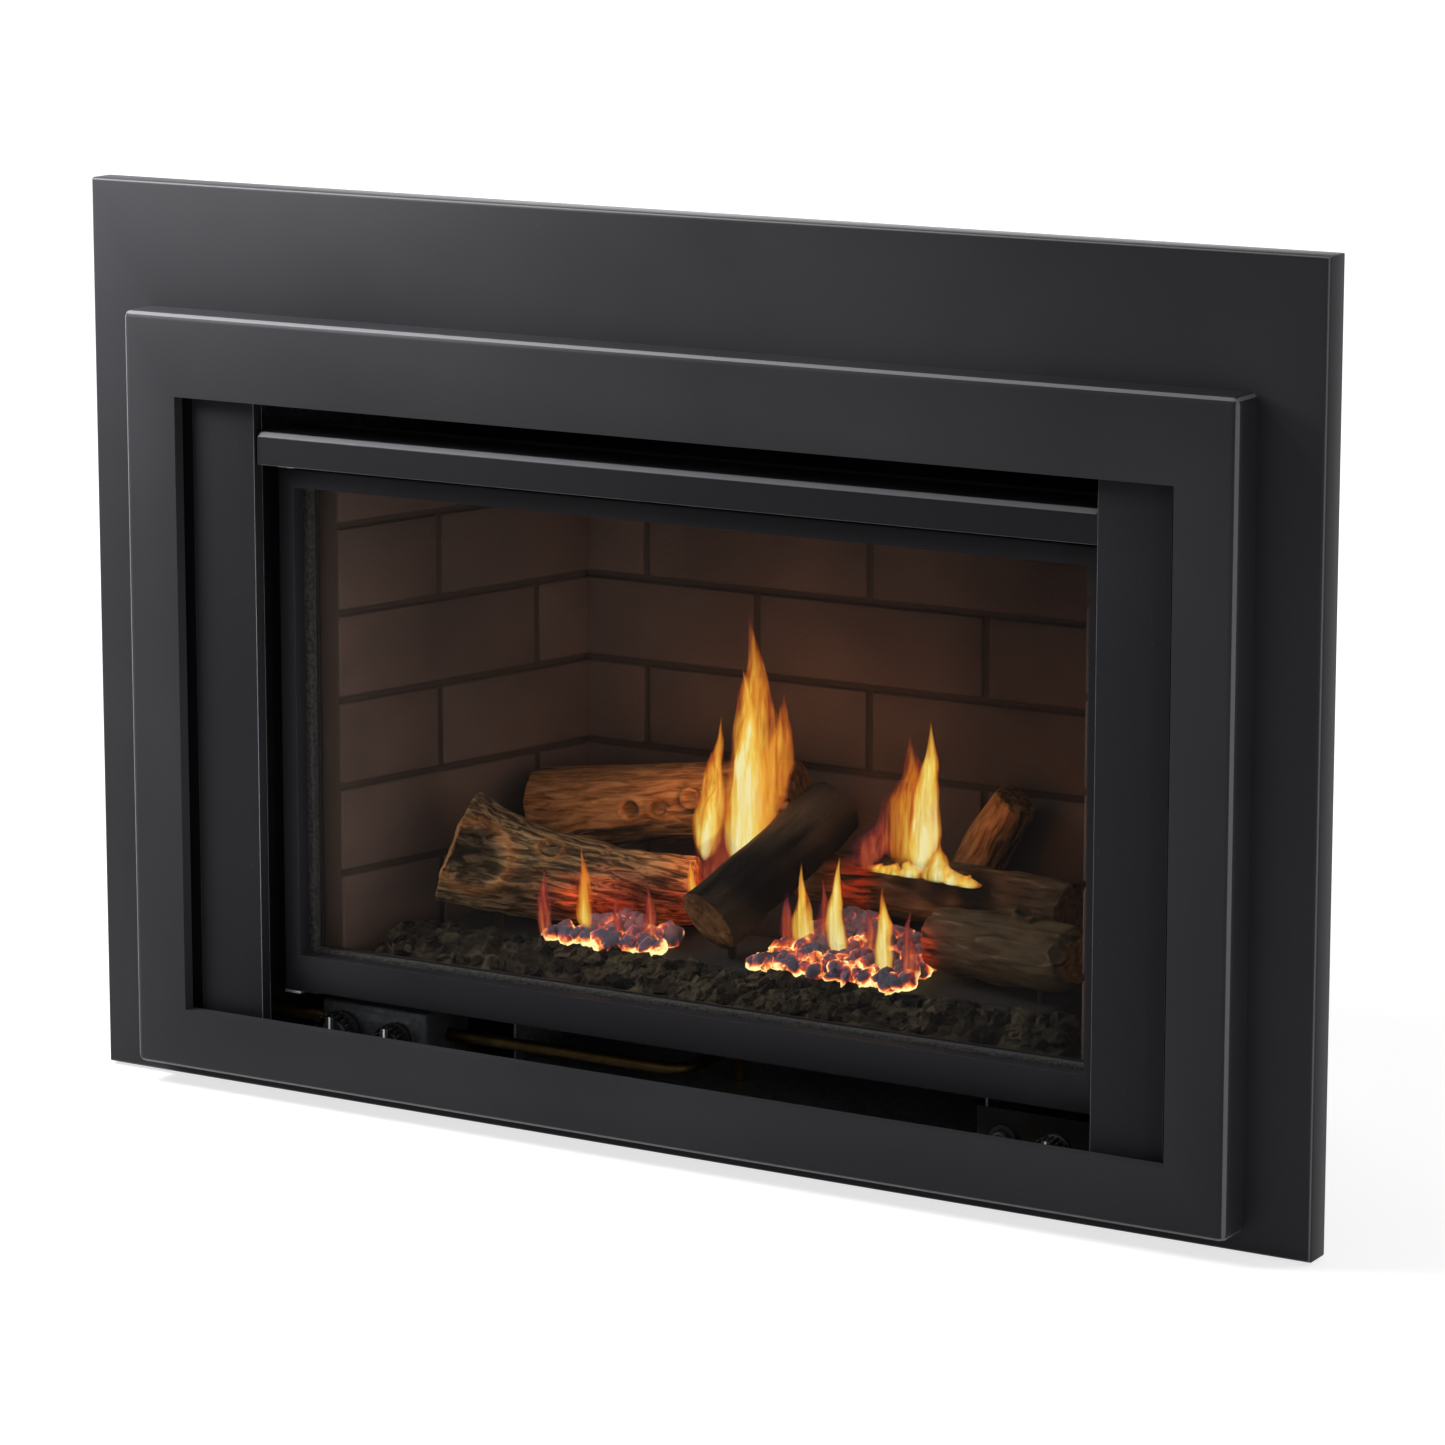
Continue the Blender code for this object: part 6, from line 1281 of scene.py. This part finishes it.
@dataclass
class Fire(Assembly):
    """Flames: thin, lens-shaped tongues over the burner, hottest in the middle.

    The edge row has each flame's place, height and heat. The small ones have their place from left
    to right and from front to rear, their foot, their tip and their heat.
    """

    thickness: float = 0.35
    rose_tongues: tuple[str, ...] = ("root", "red")
    rose_below: float = 0.65
    edge: tuple[Spot, ...] = (
        (0.080, 0.005, 0.70),
        (0.091, 0.008, 0.80),
        (0.104, 0.012, 0.95),
        (0.127, 0.030, 0.95),
        (0.139, 0.014, 0.95),
        (0.152, 0.008, 0.85),
    )
    small: tuple[tuple[float, float, float, float, float], ...] = (
        (-0.163, -0.096, 0.122, 0.188, 0.55),
        (-0.131, -0.090, 0.134, 0.204, 0.72),
        (-0.104, -0.086, 0.130, 0.170, 0.50),
        (-0.076, -0.084, 0.126, 0.182, 0.60),
        (-0.048, -0.070, 0.160, 0.200, 0.75),
        (0.030, -0.064, 0.128, 0.188, 0.50),
        (0.043, -0.064, 0.128, 0.206, 0.88),
        (0.058, -0.058, 0.140, 0.196, 0.55),
        (0.076, -0.068, 0.130, 0.216, 1.05),
        (0.100, -0.064, 0.136, 0.184, 0.60),
        (0.121, -0.080, 0.124, 0.202, 0.92),
        (0.146, -0.086, 0.122, 0.190, 0.55),
    )

    def build(self) -> None:
        """Shape every tongue, the row along the right log's edge and the small ones."""
        for name, look in LARGE_TONGUES.items():
            finish = ROSE_FLAME if name in self.rose_tongues else FLAME
            self.shape(Tongue(f"flame_{name}", *look, finish))
        for index, (x, rise, heat) in enumerate(self.edge):
            foot = 0.190 - 0.04 * (x - 0.084)
            root, tip = (x, -0.010, foot - 0.002), (x - 0.003, -0.006, foot + rise)
            self.shape(Tongue(f"flame_edge_{index}", root, tip, 0.026, 0.24, 0.001, 0.75, heat))
        for index, (x, y, low, high, heat) in enumerate(self.small):
            root, tip, width = (x, y, low), (x + 0.001, y - 0.006, high), 0.23 * (high - low)
            look = (0.20 + 0.70 * heat, heat, ROSE_FLAME if heat < self.rose_below else FLAME)
            self.shape(Tongue(f"flame_small_{index}", root, tip, width, 0.32, 0.001, *look))

    def shape(self, tongue: Tongue) -> None:
        """Draw a sphere out into one tongue with ragged edges.

        Args:
            tongue: The tongue's place, size and density.
        """
        ball = {"segments": 28, "ring_count": 44, "radius": 0.5}
        piece = Bench.add(tongue.name, bpy.ops.mesh.primitive_uv_sphere_add, **ball)
        root = Vector(tongue.root)
        rise = Vector(tongue.tip) - root
        seed = root.x * 97
        power = math.log(0.5) / math.log(tongue.widest)
        heat, veil = [], []
        for vert in piece.data.vertices:
            share = vert.co.z + 0.5
            ring = math.hypot(vert.co.x, vert.co.y)
            side = vert.co.x / ring if ring > 1e-6 else 0.0
            front = vert.co.y / ring if ring > 1e-6 else 0.0
            swell = max(math.sin(math.pi * share**power), 0.0)
            swell **= 0.75 if share < tongue.widest else 1.5
            lick = 0.42 * noise.noise(Vector((side * 0.8, share * 2.8, seed)))
            lick += 0.30 * share * noise.noise(Vector((side * 1.6, share * 9.0, seed + 5)))
            half = tongue.width / 2 * swell * (1 + lick)
            sway = tongue.bend * math.sin(share * 5.2 + seed) * share
            drift = noise.noise(Vector((0.0, share * 3.5, seed + 9)))
            sway += 0.30 * tongue.width * share * drift
            centre = root + rise * share
            vert.co = centre + Vector((side * half + sway, front * half * self.thickness, 0.0))
            inner = (1 - abs(side) ** 1.7) ** 0.8
            heat.append(min((0.12 + 0.88 * inner) * (1.06 - 0.62 * share**1.6) * tongue.heat, 1.0))
            ends = min(share / 0.10, 1.0) * min((1 - share) * 3.0, 1.0)
            veil.append(tongue.density * inner * ends)
        Bench.paint(piece, "glow", heat)
        Bench.paint(piece, "veil", veil)
        Bench.soften(piece, 0.0, angle=170.0)
        piece.visible_shadow = False
        self.hand_over(piece, tongue.finish)


@dataclass
class Door(Assembly):
    """Door frame, glass and rope seal, with the brackets and catch that hold the door."""

    def build(self) -> None:
        """Finish the moving pieces, then those on the firebox."""
        # The door frame takes the darker copy of the coat, as painted shade of the recess.
        self.refined(SHADED_COAT, 0.0005, "door_frame", segments=3, body=Body.DOOR)
        self.refined(GLASS, 0.0003, "glass_pane", body=Body.DOOR)
        self.refined(ROPE, 0.0012, "door_gasket", body=Body.DOOR)
        brackets = ("door_hinge_bracket_upper", "door_hinge_bracket_lower")
        self.refined(ZINC, 0.0002, *brackets, "door_catch")


@dataclass
class Casing(Assembly):
    """Outer casing of aluminised sheet: folded edges, pressed beads, screws and feet."""

    bead_half: float = 0.255
    bead_width: float = 0.014
    press_depth: float = 0.0009
    seam_x: float = 0.285
    seam_half: float = 0.0006
    screw_size: float = 0.0052
    front_screws_y: float = -0.150
    corner: tuple[float, float] = (0.415, -0.0127)
    rear_x: float = 0.310
    shank: float = 0.0046
    thread_pitch: float = 0.00125
    thread_depth: float = 0.0006

    def build(self) -> None:
        """Press the beads into the casing, screw its seams and thread its feet."""
        self.shell()
        self.screws()
        for end in ("front_left", "front_right", "rear_left", "rear_right"):
            self.foot(f"levelling_bolt_{end}")
        for end in ("lower_left", "lower_right", "upper_left", "upper_right"):
            self.refined(ZINC, 0.0004, f"bezel_magnet_{end}")
        self.refined(ZINC, 0.0003, "firebox_support_left", "firebox_support_right")

    def shell(self) -> None:
        """Press two long beads and two panel seams into the casing's rear wall."""
        low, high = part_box("outer_casing")
        shell = Bench.refine("outer_casing", 0.0)
        near, far = high.y - self.press_depth, high.y + 0.01
        for z in (0.20, 0.36):
            foot, top = z - self.bead_width / 2, z + self.bead_width / 2
            bead = Bench.box("bead", (-self.bead_half, near, foot), (self.bead_half, far, top))
            Bench.soften(bead, 0.0045, 3)
            Bench.subtract(shell, bead)
        for x in (-self.seam_x, self.seam_x):
            left, right = x - self.seam_half, x + self.seam_half
            seam = Bench.box("seam", (left, near, low.z + 0.004), (right, far, high.z - 0.004))
            Bench.subtract(shell, seam)
        Bench.soften(shell, 0.0007)
        self.hand_over(shell, ALUMINISED, "outer_casing")

    def screws(self) -> None:
        """Drive screws along the roof's and the side walls' folded seams."""
        rear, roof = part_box("outer_casing")[1].yz
        places = []
        for x in (-0.36, -0.24, -0.12, 0.0, 0.12, 0.24, 0.36):
            places.append(Bench.facing((x, self.front_screws_y, roof), spin=x * 900))
        for x in (-0.26, -0.13, 0.0, 0.13, 0.26):
            places.append(Bench.facing((x, rear - 0.012, roof), spin=x * 700))
        for side in (-1.0, 1.0):
            wide = side * self.corner[0]
            corner = Vector((wide, self.corner[1], 0.0))
            along = Vector((side * self.rear_x, rear, 0.0)) - corner
            normal = tuple(Vector((along.y * side, -along.x * side, 0.0)).normalized())
            for z in (0.05, 0.15, 0.25, 0.35, 0.45, 0.53):
                front = (wide, self.front_screws_y, z)
                places.append(Bench.facing(front, (side, 0.0, 0.0), z * 1000))
                for share in (0.06, 0.93):
                    spot = corner + along * share
                    places.append(Bench.facing((spot.x, spot.y, z), normal, z * 1300))
        self.screw_down("casing_screws", self.screw_size, places)

    def foot(self, node: str) -> None:
        """Thread one levelling bolt above its pad.

        Args:
            node: The bolt's node.
        """
        low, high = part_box(node)
        middle = (low + high) / 2
        pad = (high.x - low.x) / 2
        outline = [(pad * 0.94, 0.0), (pad, 0.0008), (pad, 0.0022), (pad * 0.80, 0.0036)]
        outline += [(pad * 0.55, 0.0042), (self.shank, 0.0046)]
        rise = 0.0055
        while rise < high.z - 0.0016:
            root = (self.shank - self.thread_depth, rise + self.thread_depth)
            outline += [(self.shank, rise), root]
            rise += self.thread_pitch
        outline += [(self.shank, high.z - 0.0008), (self.shank - 0.0008, high.z)]
        bolt = Bench.turned(f"{node}_threaded", (middle.x, middle.y, 0.0), outline, 28)
        self.hand_over(bolt, PLATED, node)


@dataclass
class Flue(Assembly):
    """Adaptor plate and the two spun collars that the liners slide over."""

    screw_size: float = 0.0050
    inset: float = 0.010
    collar_radius: float = 0.038
    rivet: Outline = (
        (0.0026, -0.0004),
        (0.0026, 0.0002),
        (0.0020, 0.0009),
        (0.0009, 0.0013),
    )

    def build(self) -> None:
        """Round the collars' rims, screw down the plate and rivet the collars."""
        self.refined(ZINC, 0.0004, "flue_adaptor_plate")
        low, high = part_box("flue_adaptor_plate")
        places = [
            Bench.facing((x, y, high.z), spin=x * 800 + y * 300)
            for x in (low.x + self.inset, 0.0, high.x - self.inset)
            for y in (low.y + self.inset, high.y - self.inset)
        ]
        self.screw_down("flue_plate_screws", self.screw_size, places)
        rivets = []
        for node in ("exhaust_collar", "intake_collar"):
            self.refined(ALUMINISED, 0.0003, node, angle=50.0)
            near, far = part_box(node)
            centre = (near + far) / 2
            for turn in (40, 160, 280):
                way = Vector((math.cos(math.radians(turn)), math.sin(math.radians(turn)), 0.0))
                rim = Vector((centre.x, centre.y, far.z - self.inset))
                rivets.append(Bench.facing(tuple(rim + way * self.collar_radius), tuple(way)))
        dome = Bench.turned("rivet", ORIGIN, self.rivet, 14)
        self.hand_over(Bench.copies(dome, "collar_rivets", rivets), PLATED)


@dataclass
class GasTrain(Assembly):
    """Venturi, shutter, injector, pipes and gas valve."""

    screw_size: float = 0.0030

    def build(self) -> None:
        """Round every edge, and screw the valve's cover down."""
        self.refined(ZINC, 0.0002, "venturi_tube", angle=50.0)
        self.refined(BRASS, 0.0003, "injector", angle=50.0)
        self.refined(TARNISHED_BRASS, 0.0003, "manifold_pipe", angle=50.0)
        self.refined(BRASS, 0.0003, "gas_inlet_pipe", angle=50.0)
        self.refined(ZINC, 0.0002, "air_shutter", angle=50.0, body=Body.SHUTTER)
        # The valve's darker metal is painted shade of the recess.
        self.refined(DIE_CAST_IN_PAINTED_SHADE, 0.0008, "gas_valve")
        low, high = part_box("gas_valve")
        places = [
            Bench.facing((x, low.y + inset, high.z), spin=x * 900)
            for x in (low.x + 0.006, high.x - 0.006)
            for inset in (0.008, 0.058)
        ]
        self.screw_down("valve_screws", self.screw_size, places)


@dataclass
class Controls(Assembly):
    """Knobs with finger grips and a white pointer, the igniter and their plate."""

    grips: int = 20
    grip_radius: float = 0.0009
    grip_sunk: float = 0.0006
    pointer_half: float = 0.0008

    def build(self) -> None:
        """Make the three knobs, then finish the igniter, fan control, gland and plate."""
        for body in (Body.GAS_KNOB, Body.FLAME_KNOB, Body.FAN_KNOB):
            self.knob(body.value, body)
        self.refined(PHENOLIC, 0.0006, "igniter_button", segments=3, body=Body.BUTTON)
        self.refined(PHENOLIC, 0.0003, "igniter_body", "fan_speed_control", "power_gland")
        self.refined(BLACK_PAINT, 0.0004, "control_plate")

    def knob(self, node: str, body: Body) -> None:
        """Mould grips round a knob and print its pointer.

        Args:
            node: The knob's node.
            body: The body that turns with it.
        """
        low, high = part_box(node)
        centre = (low + high) / 2
        radius = (high.x - low.x) / 2
        deep = high.y - low.y
        self.refined(PHENOLIC, 0.0005, node, segments=3, body=body)
        ridge = Bench.drum("ridge", ORIGIN, self.grip_radius, 0.55 * deep, Axis.Y, 8)
        Bench.soften(ridge, 0.0003, 1)
        reach = radius - self.grip_sunk
        places = []
        for index in range(self.grips):
            turn = math.tau * index / self.grips
            x, z = centre.x + reach * math.cos(turn), centre.z + reach * math.sin(turn)
            places.append(Matrix.Translation((x, centre.y - 0.10 * deep, z)))
        self.hand_over(Bench.copies(ridge, f"{node}_grips", places), PHENOLIC, body=body)
        left, right = centre.x - self.pointer_half, centre.x + self.pointer_half
        foot = (left, low.y - 0.00015, centre.z + 0.30 * radius)
        tip = (right, low.y + 0.0004, centre.z + 0.88 * radius)
        mark = Bench.box(f"{node}_pointer", foot, tip)
        Bench.soften(mark, 0.0001, 1)
        self.hand_over(mark, MARKING, body=body)


@dataclass
class Blower(Assembly):
    """Blower housing, wheel and motor."""

    screw_size: float = 0.0028

    def build(self) -> None:
        """Round the housing and the motor, dress the wheel and screw the motor's can together."""
        self.refined(ZINC, 0.0004, "blower_housing")
        self.dress("blower_wheel", ALUMINISED)
        self.refined(ZINC, 0.0010, "blower_motor")
        low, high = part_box("blower_motor")
        centre = (low + high) / 2
        reach = 0.72 * (high.z - low.z) / 2
        places = []
        for turn in (45, 135, 225, 315):
            y = centre.y + reach * math.cos(math.radians(turn))
            z = centre.z + reach * math.sin(math.radians(turn))
            places.append(Bench.facing((high.x, y, z), (1.0, 0.0, 0.0), turn))
        self.screw_down("motor_screws", self.screw_size, places)


@dataclass(frozen=True)
class Lamp:
    """One soft lamp: its place, the point it looks at, its size in metres and power in watts."""

    name: str
    place: Spot
    target: Spot
    size: tuple[float, float]
    power: float
    colour: str = "#FFFFFF"
    mirrored: bool = True

    def hang(self) -> None:
        """Hang the lamp, which the camera never sees."""
        light = bpy.data.lights.new(self.name, "AREA")
        light.shape = "RECTANGLE"
        light.size, light.size_y = self.size
        light.energy = self.power
        light.color = linear(self.colour)[:3]
        lamp = bpy.data.objects.new(self.name, light)
        bpy.context.scene.collection.objects.link(lamp)
        lamp.location = self.place
        aim = Vector(self.target) - Vector(self.place)
        lamp.rotation_euler = aim.to_track_quat("-Z", "Y").to_euler()
        lamp.visible_camera = False
        lamp.visible_glossy = self.mirrored


LAMPS = (
    Lamp("key_left", (-1.0, -0.75, 1.15), (-0.25, -0.2, 0.50), (0.5, 0.5), 21.0),
    Lamp("edge_strip", (1.55, -0.95, 0.30), (0.46, -0.2, 0.32), (0.10, 0.5), 3.0),
    Lamp("side_soft", (2.4, 1.1, 1.5), (0.3, 0.1, 0.3), (1.2, 1.2), 10.0),
    Lamp("rear_soft", (-1.4, 2.6, 1.6), (0.0, 0.1, 0.3), (1.6, 1.6), 16.0),
    Lamp("top_edge", (-1.0, -0.60, 2.0), (0.0, -0.2, 0.60), (0.6, 0.2), 16.0),
    Lamp("chamber_fill", (0.04, -0.146, 0.34), (-0.32, -0.01, 0.27), (0.22, 0.22), 0.20, "#FFE6D4"),
    Lamp("tall_fire", (-0.045, -0.045, 0.235), (-0.06, 0.05, 0.18), (0.03, 0.08), 0.15, "#FFB070"),
    Lamp("right_fire", (0.115, -0.035, 0.225), (0.115, 0.06, 0.17), (0.03, 0.05), 0.06, "#FFB070"),
    Lamp("left_embers", (-0.105, -0.092, 0.150), (-0.12, 0.0, 0.18), (0.09, 0.02), 0.04, "#FF6A3C"),
    Lamp("right_embers", (0.090, -0.085, 0.165), (0.11, 0.0, 0.18), (0.10, 0.02), 0.06, "#FF6A3C"),
    Lamp(
        "door_fill",
        (-0.27, -0.235, 0.28),
        (-0.345, -0.175, 0.28),
        (0.03, 0.34),
        0.15,
        mirrored=False,
    ),
)


@dataclass
class Studio:
    """Floor, surroundings, lamps and camera."""

    eye: Spot = (1.9099, -3.3378, 1.0884)
    tilt: float = 79.881
    turn: float = 30.602
    lens: float = 130.34
    lift: float = -0.10

    def build(self) -> None:
        """Set up the studio."""
        self.floor()
        self.world()
        for lamp in LAMPS:
            lamp.hang()
        self.camera()

    def floor(self) -> None:
        """Lay a pale floor, which reads as white but keeps the shadow."""
        plane = {"size": 40.0, "location": ORIGIN}
        floor = Bench.add("studio_floor", bpy.ops.mesh.primitive_plane_add, **plane)
        Bench.settle(floor)
        floor.data.materials.append(shaded("matt_white_floor", self.floor_look))

    def floor_look(self, add: Adder, place: Socket) -> dict:
        """Shine white toward the eye, and a little less round the object.

        Args:
            add: Adds a node to the material.
            place: The point on the floor.

        Returns:
            The shader's inputs.
        """
        away = add("VectorMath", {0: place, 1: ORIGIN}, out="Value", operation="DISTANCE")
        near = {"Value": away, "From Min": 0.6, "From Max": 2.4}
        lift = add("MapRange", {**near, "To Min": 0.72, "To Max": 1.0})
        shine = add("Math", {0: self.looked_at(add), 1: lift}, operation="MULTIPLY")
        return {
            "Emission Strength": shine,
            "Emission Color": WHITE,
            "Base Color": linear("#B0B0B0"),
            "Roughness": 0.9,
            "Specular IOR Level": 0.1,
        }

    @staticmethod
    def looked_at(add: Adder) -> Socket:
        """One where the eye sees the background: straight, in a reflection or through glass."""
        seen = add("LightPath", out="Is Camera Ray")
        rays = seen.node.outputs
        for way in ("Is Glossy Ray", "Is Transmission Ray"):
            seen = add("Math", {0: seen, 1: rays[way]}, operation="MAXIMUM")
        return seen

    def world(self) -> None:
        """White to the eye; for the object dim in front, so that the key models it, pale behind."""
        world = bpy.data.worlds.new("pale_studio")
        bpy.context.scene.world = world
        world.use_nodes = True
        tree = world.node_tree
        add = partial(add_node, tree)
        way = add("SeparateXYZ", {"Vector": add("TexCoord", out="Generated")}, out="Y")
        depth = {"Value": way, "From Min": 0.0, "From Max": 0.7}
        level = add("MapRange", {**depth, "To Min": 0.19, "To Max": 0.85})
        level = add("Math", {0: self.looked_at(add), 1: level}, operation="MAXIMUM")
        feed(tree, tree.nodes["Background"], {"Strength": level, "Color": WHITE})

    def camera(self) -> None:
        """Put the camera at the photograph's viewing angle."""
        lens = bpy.data.cameras.new("studio_camera")
        lens.lens = self.lens
        lens.sensor_width = 36.0
        lens.shift_y = self.lift
        lens.clip_start = 0.05
        lens.clip_end = 100.0
        camera = bpy.data.objects.new("studio_camera", lens)
        bpy.context.scene.collection.objects.link(camera)
        camera.location = self.eye
        camera.rotation_euler = (math.radians(self.tilt), 0.0, math.radians(self.turn))
        bpy.context.scene.camera = camera


def main() -> None:
    """Build the insert's looks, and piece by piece."""
    logging.basicConfig(level=logging.INFO, format="%(message)s")
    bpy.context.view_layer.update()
    inside = (Trim(), FireChamber(), LogSet(), FuelBed(), Fire(), Door())
    around = (Casing(), Flue(), GasTrain(), Controls(), Blower())
    for assembly in (*inside, *around):
        assembly.build()
        LOG.info("%s: %s", type(assembly).__name__, ", ".join(assembly.made))
    Studio().build()
    bpy.context.scene.view_settings.view_transform = "Standard"


if __name__ == "__main__":
    main()
